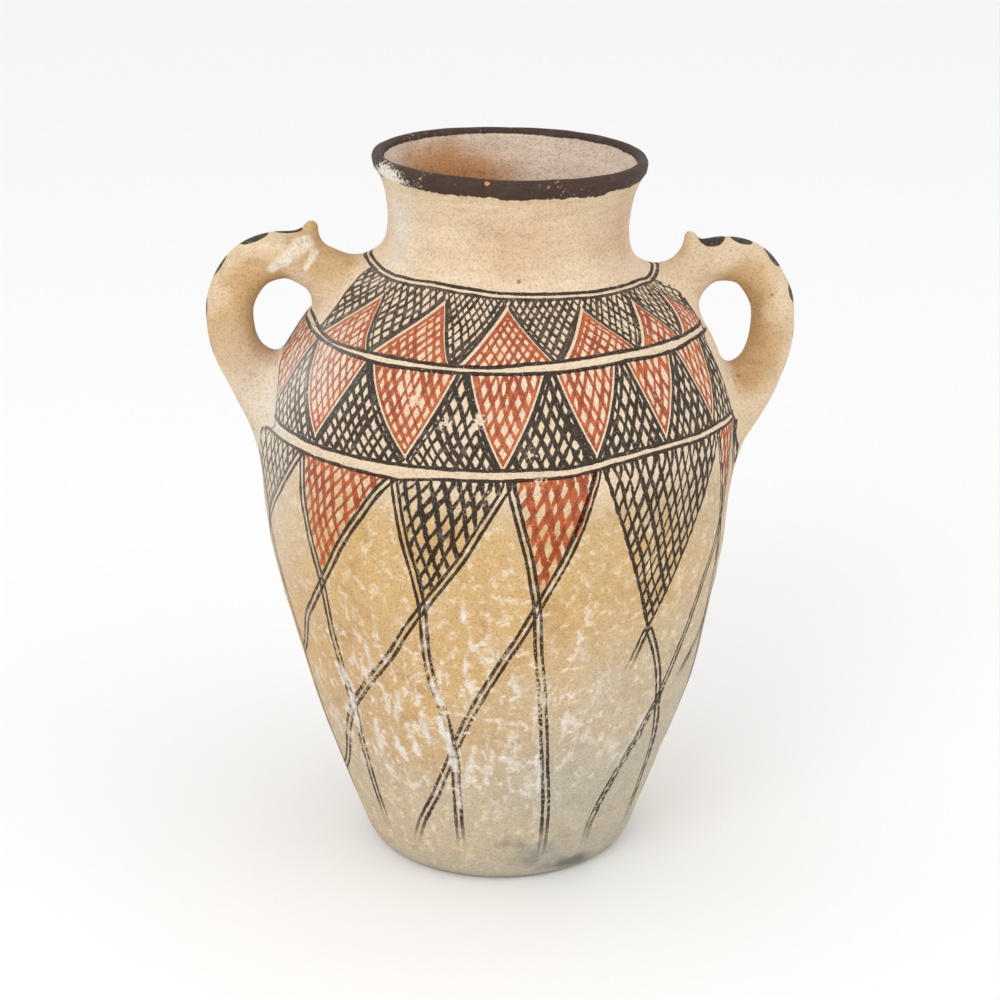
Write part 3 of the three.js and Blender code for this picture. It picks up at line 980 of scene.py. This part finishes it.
# Lime that has run down: places on the wall, width, strength
limeStreaks = [
    ([(-16, 196), (-14.6, 182), (-13.8, 168), (-14.9, 152), (-13.8, 140), (-14.6, 128)],
     1.5, 0.95),
    ([(-47, 184), (-45.5, 160), (-47.5, 142)], 2.0, 0.55), ([(-34, 130), (-36, 112)], 3.4, 0.8),
    ([(-28, 118), (-27, 100)], 3.0, 0.8), ([(-15, 88), (-17, 74)], 3.4, 0.8),
    ([(12, 122), (12, 108)], 2.6, 0.7), ([(-6, 92), (-1, 88)], 3.4, 0.8),
    ([(20, 128), (21, 120)], 2.6, 0.6), ([(5, 92), (6, 66)], 2.8, 0.8),
    ([(-42, 158), (-41, 142)], 2.2, 0.8), ([(-24, 140), (-22, 128)], 3.0, 0.9),
    ([(-55, 136), (-54, 124)], 3.0, 0.8), ([(-40, 143), (-30, 144)], 1.8, 0.6),
    ([(-23, 118), (-20.5, 96), (-20, 84)], 2.6, 1.0), ([(-20, 80), (-19.6, 56)], 1.8, 0.8),
    ([(-52, 118), (-53, 96)], 3.6, 0.9), ([(-10, 118), (-2, 116)], 2.4, 0.7),
    ([(-8, 104), (-4, 100)], 3.0, 0.7), ([(-33, 110), (-31, 90)], 3.0, 0.8),
    ([(3, 128), (4, 100)], 3.0, 0.6), ([(28, 96), (31, 80)], 5.0, 0.6),
    ([(22, 178), (26, 172)], 2.4, 0.5), ([(-58, 226), (-57, 205)], 2.2, 0.5),
    ([(40, 108), (34, 72)], 3.0, 0.6), ([(-12, 84), (-10, 74)], 3.0, 0.7),
    ([(-45, 96), (-44, 70)], 3.0, 0.7)]
lime = 0.0
for points, width, strength in limeStreaks:
    lime = np.maximum(lime, strength * streak(points, width))
# Marks on the wall: strength, middle in degrees and millimetres, reach in degrees and millimetres
speckle = gathered(blot, [(1, -22, 112, 56, 66), (0.35, 180, 110, 80, 60)])
warm = gathered(blot, [(1.05, -35, 175, 48, 95), (0.55, 30, 205, 40, 50), (0.5, 180, 160, 90, 90)])
grey = gathered(blot, [(0.65, 25, 62, 46, 56), (0.4, 70, 120, 30, 90), (0.4, -140, 60, 60, 50)],
                0.6 * (1 - smoothStep(level, 4, 36)))
stain = gathered(blot, [(0.6, -3, 33, 9, 11), (0.55, 11, 20, 15, 9), (0.9, 25, 8, 15, 6),
                        (0.35, 160, 16, 30, 12)])
innerWarm = gathered(blot, [(0.95, -140, 372, 52, 30), (0.3, -100, 366, 40, 14),
                            (0.35, 178, 368, 50, 22)])
neckWarm = gathered(blot, [(0.8, 0, 364, 30, 24), (0.5, 170, 362, 50, 20)])
# painted shade: the right of the neck, a strip under the right handle, and the left of the belly
# are darkened
dusk = gathered(blot, [(0.9, 58, 368, 24, 30), (0.15, 85, 290, 14, 40), (0.7, -48, 120, 16, 56),
                       (0.6, -88, 200, 26, 60)])
haze = gathered(blot, [(0.75, -67, 368, 13, 22), (0.6, -64, 298, 13, 20), (0.5, -78, 278, 9, 22),
                       (0.5, -75, 230, 16, 60), (0.25, 165, 300, 60, 60)])
worn = gathered(blot, [(1, *place, 2.0, 4.4) for place in (
    (-11.4, 289), (-19.7, 286), (-28.3, 296), (-5.3, 285), (0.5, 273), (2.7, 260))])
lipSmear, drip = blot(-67, 394, 18, 6), blot(32, 392, 9, 60)
# Marks on the handles: strength, x, y, z, reach
onCoilWarm = gathered(ball, [
    (1, -92, -8, 350, 17), (1, -132, -8, 336, 15), (0.9, -146, -8, 305, 24),
    (0.6, 136, -8, 284, 15), (0.5, 122, -8, 268, 11), (0.4, 132, -8, 330, 12),
    (0.5, -122, -8, 250, 24), (0.5, -108, -8, 362, 10), (0.5, 137, -8, 328, 13),
    (0.5, 148, -8, 300, 20), (0.4, 140, -8, 272, 12)])
inside = (wallAway < -2.2) & (level > wallForm["floorThickness"] - 0.8)
crest = wallForm["mouthRadius"] - wallForm["lipThickness"] / 2
inside |= (level > wallForm["height"] - 1.2) & (radius < crest)
for name, columns in {
        "clayTone": (warm, grey, stain), "deposit": (lime, speckle, lipSmear),
        "coilPlace": (onCoilWarm, dab, np.maximum(shade, 0)), "bareClay": (bare, edgeWidth, wipe),
        "wallPlace": (inside, innerWarm, drip), "neckTone": (neckWarm, dusk),
        "liftPlace": (wallAway, haze, worn)}.items():
    write("POINT", name, *columns)
print("tones placed")

vase = placed("vaseBody", vaseMesh)
vaseMesh.materials.clear()
vaseMesh.materials.append(clay)
for face in vaseMesh.polygons:
    face.material_index = 0
vaseMesh.shade_smooth()
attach(vase, "root")
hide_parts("vase")

# Camera, light and floor
studio = {
    "place": (-0.1424, -1.2502, 0.6633), "towards": (0.1062, 0.9325, -0.3455),
    "lens": 85.17, "shiftX": 0.0008, "shiftY": 0.0032,
    "lights": [("keyLight", (-1.1, -1.7, 1.6), 1.4, 14),
               ("fillLight", (1.7, -1.0, 1.0), 1.6, 4.5)],
    "lightAim": (0, 0, 0.2), "paper": 0.9, "floorReach": 6.0,
}
lens = bpy.data.cameras.new("camera")
lens.lens, lens.shift_x, lens.shift_y = studio["lens"], studio["shiftX"], studio["shiftY"]
camera = placed("camera", lens)
camera.location = studio["place"]
camera.rotation_euler = Vector(studio["towards"]).to_track_quat("-Z", "Y").to_euler()
bpy.context.scene.camera = camera
for name, place, wide, power in studio["lights"]:
    lamp = bpy.data.lights.new(name, "AREA")
    lamp.shape, lamp.size, lamp.energy = "DISK", wide, power
    light = placed(name, lamp)
    light.location = place
    aim = Vector(studio["lightAim"]) - Vector(place)
    light.rotation_euler = aim.to_track_quat("-Z", "Y").to_euler()
world = bpy.data.worlds.new("studio")
world.use_nodes = True
world.node_tree.nodes["Background"].inputs[0].default_value = (1, 1, 1, 1)
world.node_tree.nodes["Background"].inputs[1].default_value = 1.0
bpy.context.scene.world = world
bpy.context.scene.view_settings.view_transform = "Standard"

floorMesh = bpy.data.meshes.new("floor")
far = studio["floorReach"]
floorMesh.from_pydata([(-far, -far, 0), (far, -far, 0), (far, far, 0), (-far, far, 0)], [],
                      [(0, 1, 2, 3)])
floor = placed("floor", floorMesh)
paper = bpy.data.materials.new("palePaper")
paper.use_nodes = True
paperLook = paper.node_tree.nodes["Principled BSDF"].inputs
paperLook["Base Color"].default_value = (*[studio["paper"]] * 3, 1)
paperLook["Roughness"].default_value = 0.9
floorMesh.materials.append(paper)


def toned(red, green, blue):  # from a colour as seen on screen, 0 to 255
    def plain(v):
        v /= 255
        return v / 12.92 if v <= 0.04045 else ((v + 0.055) / 1.055) ** 2.4
    return plain(red), plain(green), plain(blue), 1.0


def noiseNode(b, vector, scale, detail=1.0, rough=0.5):
    return b.wire("ShaderNodeTexNoise", {"Vector": vector, "Scale": scale, "Detail": detail,
                                         "Roughness": rough})


def blend(b, share, under, over, kind="MIX"):
    node = b.add("ShaderNodeMix", data_type="RGBA", blend_type=kind)
    for socket, value in zip((node.inputs[0], node.inputs[6], node.inputs[7]),
                             (share, under, over)):
        b.feed(socket, value)
    return node.outputs[2]


def shaderTree(name, places, numbers, *titles):
    return newTree(name, "ShaderNodeTree", [(vec, places), (flo, numbers)], *titles)


def brushHandGroup():  # the unsteadiness that every stroke of the brush shares
    tree, b, g, out = shaderTree("brushHand", {"Place": None}, {}, "Slow", "Quick", "Thick")
    b.feed(out["Slow"], noiseNode(b, g["Place"], 42.0, 0.0) - 0.5)
    b.feed(out["Quick"], noiseNode(b, g["Place"], 380.0) - 0.5)
    b.feed(out["Thick"], noiseNode(b, g["Place"], 115.0))
    return tree


def brushLineGroup():  # one brush line: how much paint lies at a distance from its middle
    tree, b, g, out = shaderTree("brushLine", {}, {
        "Slow": 0.0, "Quick": 0.0, "Thick": 0.5, "Distance": 0.0, "Width": 1.5,
        "Wobble": 0.5}, "Paint")
    off = abs(g["Distance"] + g["Slow"] * g["Wobble"] * 2.2) + g["Quick"] * 0.6
    half = g["Width"] * 0.5 * b.ramp(g["Thick"], 0.25, 0.75, (0.76, 1.24), "LINEAR")
    b.feed(out[0], b.ramp(off - half, -0.2, 0.2, (1.0, 0.0)))
    return tree


def hatchGroup():  # a family of strokes, one at each whole number of the count
    tree, b, g, out = shaderTree("hatchStrokes", {}, {
        "Slow": 0.0, "Quick": 0.0, "Thick": 0.5, "Count": 0.0, "Share": 0.3, "Stray": 0.2,
        "Seed": 0.0}, "Paint")
    count = g["Count"] + g["Slow"] * 0.8
    number = b.math("ROUND", count)
    luck = b.wires(b.add("ShaderNodeTexWhiteNoise", {"Vector": b.join(number, g["Seed"], 0.5)},
                         noise_dimensions="3D"))
    shift = (luck["Value"] - 0.5) * g["Stray"]
    off = abs(count - number - shift) + g["Quick"] * 0.24
    broad = b.ramp(b.split(luck["Color"])[1], 0.0, 1.0, (0.74, 1.3), "LINEAR")
    half = g["Share"] * 0.5 * broad * b.ramp(g["Thick"], 0.25, 0.75, (0.72, 1.28), "LINEAR")
    b.feed(out[0], b.ramp(off - half, -0.05, 0.05, (1.0, 0.0)))
    return tree


def paintLossGroup():  # where the paint has rubbed or flaked off
    tree, b, g, out = shaderTree("paintLoss", {}, {
        "Broad": 0.5, "Fine": 0.5, "Amount": 0.3}, "Kept")
    field = g["Broad"] * 0.45 + g["Fine"] * 0.55
    edge = b.ramp(g["Amount"], 0.0, 1.0, (0.2, 0.72), "LINEAR")
    b.feed(out[0], b.ramp(field - edge, -0.05, 0.08))
    return tree


def clayGrainGroup():  # specks, pits and soft clouding of the slip
    tree, b, g, out = shaderTree("clayGrain", {"Place": None}, {},
                                 "Cloud", "Sand", "Speck", "Relief")
    sand = noiseNode(b, g["Place"], 820.0, 1.0, 0.6)
    pit = b.ramp(sand, 0.30, 0.40, (1.0, 0.0))
    b.feed(out["Cloud"], noiseNode(b, g["Place"], 17.0, 3.0, 0.62))
    b.feed(out["Sand"], sand)
    b.feed(out["Speck"], b.ramp(noiseNode(b, g["Place"], 760.0), 0.62, 0.72))
    b.feed(out["Relief"], sand * 0.8 + noiseNode(b, g["Place"], 190.0) * 0.9 - pit * 0.5)
    return tree


handTree, brushTree, hatchTree = brushHandGroup(), brushLineGroup(), hatchGroup()
lossTree, grainTree = paintLossGroup(), clayGrainGroup()

finish = {
    "colours": {  # as seen on screen, 0 to 255
        "slipCream": (235, 213, 183), "slipWarm": (226, 200, 164), "ochre": (214, 178, 124),
        "ochreDeep": (200, 158, 104), "beige": (206, 188, 160), "greyClay": (190, 184, 166),
        "black": (22, 10, 5), "blackWorn": (86, 70, 62), "red": (164, 58, 18),
        "redWorn": (192, 92, 42), "redDeep": (112, 36, 12), "lipPaint": (56, 37, 34),
        "lime": (240, 232, 222), "haze": (232, 224, 212), "stain": (98, 102, 98),
        "innerOrange": (190, 134, 84), "innerCream": (228, 208, 188),
        "coilShadeBrown": (172, 132, 86), "coilGold": (204, 164, 110), "speck": (146, 104, 64),
        "chip": (212, 148, 106), "wiped": (240, 228, 206), "neckWarm": (222, 184, 148),
        "dusk": (190, 158, 128), "scuff": (232, 208, 172), "mottle": (222, 198, 168),
    },
    # share of the spacing, by band and direction
    "strokes": ((0.46, 0.36), (0.42, 0.38), (0.37, 0.33)),
    "stray": 0.26,
    "gaps": ((1.7, 0.5), (1.0, 1.1)),  # bare line left and right of a triangle, by band
    "redEdge": (2.2, 1.6), "blackEdge": (2.1, 2.4),  # widths in millimetres, by band
    "pairHalf": 1.7, "pairWidth": 1.9,
    "ringWidths": (1.8, 2.1, 1.9),  # at the neck, in the middle and below the belly
    # pendant sides drawn as one line down to this height
    "singleWidth": 2.3, "singleAbove": 164.0,
    # heights between which a tone sets in
    "lipOuter": (391.5, 392.2), "lipInner": (397.4, 398.0), "creamAbove": (225.0, 262.0),
    "neckSlip": (343.0, 360.0), "linesFade": (36.0, 70.0), "wipedAbove": (335.0, 350.0),
    "exposure": 0.89,  # scales every colour to the light
    "roughness": 0.76, "specular": 0.16, "bumpStrength": 0.6, "bumpDepth": 0.0008,
    # small spots: x, y, z, radius in millimetres
    "spots": [(-129.4, -23.9, 265.2, 1.5), (133.0, -9.9, 273.8, 1.3), (149.9, -12.1, 320.5, 1.1),
              (57.0, -46.6, 347.6, 1.3), (2.4, -68.6, 347.4, 1.2)],
    "lipChip": (-14.3, -71.4, 400.0, 1.3),
}


def paintTheClay(material, f):
    f = {**f, **{name: toned(*colour) for name, colour in f["colours"].items()}}
    material.use_nodes = True
    tree = material.node_tree
    b = NodeBench(tree)
    shader = tree.nodes["Principled BSDF"]
    place = b.wire("ShaderNodeTexCoord", key="Object")

    def read(name):
        return b.split(b.wire("ShaderNodeAttribute", key="Vector", attribute_name=name,
                              attribute_type="GEOMETRY"))

    def group(made, **inputs):
        return b.wires(b.add("ShaderNodeGroup", inputs, node_tree=made))

    hand = group(handTree, Place=place)

    def line(distance, width, wobble=0.28):
        return group(brushTree, **hand, Distance=distance, Width=width, Wobble=wobble)["Paint"]

    def beyond(value, edge, soft=0.25):
        return b.ramp(value, edge - soft, edge + soft)

    def below(value, edge, soft=0.25):
        return b.ramp(value, edge - soft, edge + soft, (1.0, 0.0))

    def equals(value, number):
        return b.math("COMPARE", value, float(number), 0.4)

    def nearPoint(x, y, z, radius, rough=0.0):
        gap = b.vector("DISTANCE", place, (x * mm, y * mm, z * mm), key="Value")
        gap = gap + hand["Quick"] * rough * mm
        return b.ramp(gap, radius * 0.6 * mm, radius * 1.2 * mm, (1.0, 0.0))

    leftSide, rightSide, zone = read("sides")
    leftCount, rightCount, ringThere = read("strokes")
    leftGauge, rightGauge, rightThere = read("gauge")
    neckRing, shoulderTop, shoulderFoot = read("upperRings")
    neckWarm, dusk, _ = read("neckTone")
    bellyTop, bellyFoot, height = read("lowerRings")
    warm, grey, stain = read("clayTone")
    lime, speckle, lipSmear = read("deposit")
    coilWarm, dab, shade = read("coilPlace")
    bare, edgeWide, wipe = read("bareClay")
    inside, innerWarm, drip = read("wallPlace")
    lift, haze, worn = read("liftPlace")
    outside = 1 - inside

    one, two, three = (equals(zone, k) for k in (1, 2, 3))
    leftNumber, rightNumber = b.math("ROUND", leftSide), b.math("ROUND", rightSide)
    leftOff = (leftSide - leftNumber) * leftGauge
    rightOff = (rightSide - rightNumber) * rightGauge
    within = equals(b.math("FLOOR", leftSide) - b.math("FLOOR", rightSide), 1)
    # sides count only as far as the tip
    leftReal = b.math("LESS_THAN", rightSide - leftNumber, 0.03)
    rightReal = b.math("GREATER_THAN", leftSide - rightNumber, -0.03)

    def layered(ground, *layers):
        for share, name in layers:
            ground = blend(b, share, ground, f[name])
        return ground

    def byBand(values):
        total = one * values[0] + two * values[1]
        return total + three * values[2] if len(values) > 2 else total

    odd = b.math("PINGPONG", b.math("FLOOR", leftSide), 1.0)
    # strokes are broader in the black of band 2 and the red of band 3, and thinner in the haze
    strokeScale = 1.0 + two * (1 - within) * 0.16 + three * odd * 0.3
    strokeScale = strokeScale * (1 - haze * 0.4)
    falling, rising = (
        group(hatchTree, **hand, Count=count,
              Share=byBand([s[k] for s in f["strokes"]]) * strokeScale,
              Stray=f["stray"], Seed=1.0 + 6 * k)["Paint"]
        for k, count in enumerate((leftCount, rightCount)))
    hatch, crossing = b.most(falling, rising), b.least(falling, rising)

    # the two triangle bands between the rings
    inUpper = one * beyond(shoulderTop, 0.2) * below(neckRing, -1.0)
    inMiddle = two * below(shoulderFoot, -0.2) * beyond(bellyTop, 0.2)
    bands = inUpper + inMiddle
    redField = within * bands
    blackField = (1 - within) * bands
    leftGap, rightGap = (byBand([g[k] for g in f["gaps"]]) for k in (0, 1))
    gapLeft = leftReal * below(leftOff, 0.0, 0.15) * beyond(leftOff + leftGap, 0.0, 0.15)
    gapRight = rightReal * beyond(rightOff, 0.0, 0.15) * below(rightOff - rightGap, 0.0, 0.15)
    openField = 1 - b.least(gapLeft + gapRight, 1.0)
    redWide, blackWide = byBand(f["redEdge"]), byBand(f["blackEdge"])
    redHalf, blackHalf = redWide * 0.5, blackWide * 0.5
    redEdge = b.most(line(leftOff - redHalf, redWide, 0.12) * leftReal,
                     line(rightOff + redHalf, redWide, 0.12) * rightReal)
    blackEdge = b.most(leftReal * line(leftOff + leftGap + blackHalf, blackWide, 0.12),
                       rightReal * line(rightOff - (rightGap + blackHalf), blackWide, 0.12))
    redPaint = redField * b.most(hatch, redEdge)
    blackPaint = blackField * b.most(hatch, blackEdge) * openField

    # pendants below the belly rings, and the double lines that run on from their sides
    lowZone = three * below(bellyFoot, -0.3)
    single, singleRight = (equals(n, painting["singleSided"]) for n in (leftNumber, rightNumber))
    high = beyond(height, f["singleAbove"], 1.5)

    def pair(off):
        return b.most(line(off - f["pairHalf"], f["pairWidth"]),
                      line(off + f["pairHalf"], f["pairWidth"]))

    leftPlain, rightPlain = single * high, singleRight * high
    leftLines, rightLines = (
        plain * line(off, f["singleWidth"], 0.3) + (1 - plain) * pair(off)
        for plain, off in ((leftPlain, leftOff), (rightPlain, rightOff)))
    rightLines = rightLines * rightThere
    inner = b.ramp(abs(leftOff), 2.5, 3.0) * b.ramp(abs(rightOff), 2.5, 3.0)
    inner = b.most(inner, leftPlain, rightPlain)
    pendantField = lowZone * within * inner
    redPaint = redPaint + pendantField * hatch * odd
    blackPaint = blackPaint + pendantField * hatch * (1 - odd)

    cloud, sand, speck, relief = group(grainTree, Place=place).values()
    broad = noiseNode(b, place, 30.0, 2.0, 0.6)
    fine = noiseNode(b, place, 520.0, 2.0, 0.65)
    mottle = noiseNode(b, place, 60.0, 2.0, 0.6)
    crumb = noiseNode(b, place, 170.0, 2.0, 0.65)

    lowFade = b.ramp(height + cloud * 40.0, *f["linesFade"])
    blackPaint = b.most(blackPaint, lowZone * b.most(leftLines, rightLines) * lowFade)

    # the roots of the handles stay bare, with a line drawn along the edge
    edge = bare + hand["Slow"] * 2.0
    edgeLine = line(edge - edgeWide * 0.5, edgeWide, 0.0) * b.ramp(edgeWide, 0.1, 0.6)
    edgeLine = edgeLine * below(neckRing, 0.0)
    blackPaint = b.most(blackPaint, edgeLine) * beyond(edge, 0.0)
    redPaint = redPaint * beyond(edge, 0.0)

    # rings
    half = painting["ringHalf"]
    onWall = below(lift, 9.0, 1.0)
    neckWide, ringWide, lowWide = f["ringWidths"]
    bellyRings = b.most(line(shoulderTop, ringWide), line(shoulderFoot, ringWide),
                        line(bellyTop, ringWide), line(bellyFoot, lowWide))
    ringLines = b.most(line(neckRing - half, neckWide, 0.3), line(neckRing + half, neckWide, 0.3),
                       bellyRings * beyond(ringThere, 0.5, 0.3))
    blackPaint = b.most(blackPaint, ringLines * beyond(zone, 0.5, 0.1) * onWall)
    dabPaint = beyond(dab + hand["Thick"] * 0.8, 0.4, 0.2)
    blackPaint = b.most(blackPaint, dabPaint)

    # wear
    loss = speckle * 0.28 + grey * 0.2 + worn * 0.5 + 0.2
    loss = loss + haze * 0.12
    kept = group(lossTree, Broad=broad, Fine=fine, Amount=loss)["Kept"]
    blackPaint = blackPaint * outside * kept
    redPaint = redPaint * outside * kept

    # the clay under the paint
    drift = cloud - 0.5
    creamHigh = b.ramp(height + drift * 40.0, *f["creamAbove"])
    onCoil = b.ramp(lift, 0.5, 6.0) * outside
    gold = coilWarm * 1.3 + (mottle - 0.5) * 0.9 + drift * 0.6
    # painted shade on the inner side of the loops, broken up by mottling
    loopShadeAndMottle = b.ramp(shade * 0.8 + (mottle - 0.5) * 1.3, 0.2, 0.85)
    base = blend(b, creamHigh, f["beige"], f["slipCream"])
    base = layered(
        base,
        (b.ramp(warm + drift * 0.9, 0.12, 0.85) * (1 - creamHigh * 0.8), "ochre"),
        (b.ramp(mottle, 0.5, 0.72) * warm * (1 - creamHigh) * 0.5, "ochreDeep"),
        (b.ramp(height, *f["neckSlip"]) * b.ramp(cloud, 0.3, 0.7, (0.4, 0.9)), "slipWarm"),
        (b.ramp(neckWarm + drift * 0.7, 0.1, 1.0, (0.0, 0.7)), "neckWarm"),
        (b.ramp(crumb, 0.5, 0.68) * (1 - creamHigh), "scuff"),
        (onCoil * 0.6, "slipWarm"),
        (onCoil * b.ramp(gold, 0.15, 0.85) * 0.85, "coilGold"),
        (onCoil * loopShadeAndMottle * 0.38, "coilShadeBrown"),
        (b.ramp(grey + drift * 0.8, 0.15, 0.95) * outside, "greyClay"))
    base = blend(b, b.ramp(mottle, 0.4, 0.7) * 0.16, base, f["mottle"], "MULTIPLY")
    # painted shade darkens the clay, then specks, spots and the whitish haze go on
    base = layered(
        base, (dusk * 0.45, "dusk"), (speck * 0.18, "speck"),
        *((nearPoint(x, y, z, wide, 1.2) * 0.75, "speck") for x, y, z, wide in f["spots"]),
        (haze * 0.62, "haze"))

    # inside of the mouth
    innerClay = layered(f["innerCream"],
                        (b.ramp(innerWarm + drift * 0.9, 0.3, 1.0), "innerOrange"),
                        (b.ramp(fine, 0.52, 0.66) * 0.3, "speck"))
    base = blend(b, inside, base, innerClay)

    redShade = layered(f["red"], (b.ramp(mottle, 0.36, 0.6), "redWorn"),
                       (crossing * 0.5, "redDeep"))
    painted = blend(b, redPaint * 0.93, base, redShade)
    tired = crumb * 0.6 + broad * 0.4 + speckle * 0.1 + one * bands * 0.12
    blackShade = blend(b, b.ramp(tired, 0.5, 0.78), f["black"], f["blackWorn"])
    painted = blend(b, blackPaint * 0.95, painted, blackShade)

    # lime crust, dribbles and whitish bloom
    dribble = noiseNode(b, b.vector("MULTIPLY", place, (1.0, 1.0, 0.4)), 120.0, 3.0, 0.7)
    limeShare = b.ramp(lime * (crumb * 1.5 + 0.25), 0.25, 0.85, (0.0, 0.85))
    dribbled = b.ramp(dribble, 0.53, 0.66) * b.ramp(speckle, 0.1, 0.8, (0.0, 0.7))
    fleck = b.ramp(crumb, 0.6, 0.7) * b.ramp(speckle, 0.05, 0.7, (0.05, 0.7))
    dust = b.ramp(sand, 0.62, 0.74) * b.most(blackPaint, redPaint) * (0.18 + speckle * 0.5)
    limeShare = b.most(limeShare, dribbled, fleck, dust) * outside
    stainShare = b.ramp(stain + (mottle - 0.5) * 1.4, 0.15, 1.0) * outside
    wipeShare = b.ramp(wipe, 0.3, 0.75) * b.ramp(crumb, 0.3, 0.6, (0.6, 0.95))
    painted = layered(painted, (limeShare, "lime"), (haze * 0.42, "haze"), (wipeShare, "wiped"),
                      (stainShare * 0.85, "stain"))

    # the lip
    ragged = (mottle - 0.5) * 5.0 + hand["Quick"] * 2.0
    lipOuter = b.ramp(height + ragged + drip * 1.8, *f["lipOuter"])
    lipInner = b.ramp(height + ragged * 0.4, *f["lipInner"])
    lip = outside * lipOuter + inside * lipInner
    lipLoss = 0.24 + lipSmear * outside * 0.62
    lipKept = group(lossTree, Broad=broad, Fine=fine, Amount=lipLoss)["Kept"]
    lipShade = layered(f["lipPaint"], (b.ramp(crumb * 0.5 + broad * 0.5, 0.52, 0.78), "blackWorn"))
    painted = layered(painted, (lip * b.ramp(lipSmear, 0.1, 0.6) * outside, "haze"))
    painted = blend(b, lip * lipKept * 0.96, painted, lipShade)
    chip = nearPoint(*f["lipChip"], 2.6)
    painted = layered(painted, (b.ramp(chip + (fine - 0.5) * 1.6, 0.45, 0.65) * chip, "chip"))

    # fine grain, and faint streaks round the neck from wiping
    level = b.vector("MULTIPLY", place, (0.16, 0.16, 1.0))
    wiped = (noiseNode(b, level, 330.0) - 0.5) * b.ramp(height, *f["wipedAbove"])
    tone = (0.76 + sand * 0.48 + wiped * 0.3) * f["exposure"]
    painted = blend(b, 1.0, painted, b.join(tone, tone, tone), "MULTIPLY")
    b.feed(shader.inputs["Base Color"], painted)

    b.feed(shader.inputs["Normal"], b.wire("ShaderNodeBump", {
        "Strength": f["bumpStrength"], "Distance": f["bumpDepth"], "Height": relief}))
    gloss = f["roughness"] + drift * 0.2 - b.most(blackPaint, lip * lipKept) * 0.12
    b.feed(shader.inputs["Roughness"], gloss)
    shader.inputs["Specular IOR Level"].default_value = f["specular"]


paintTheClay(clay, finish)
print("clay painted")
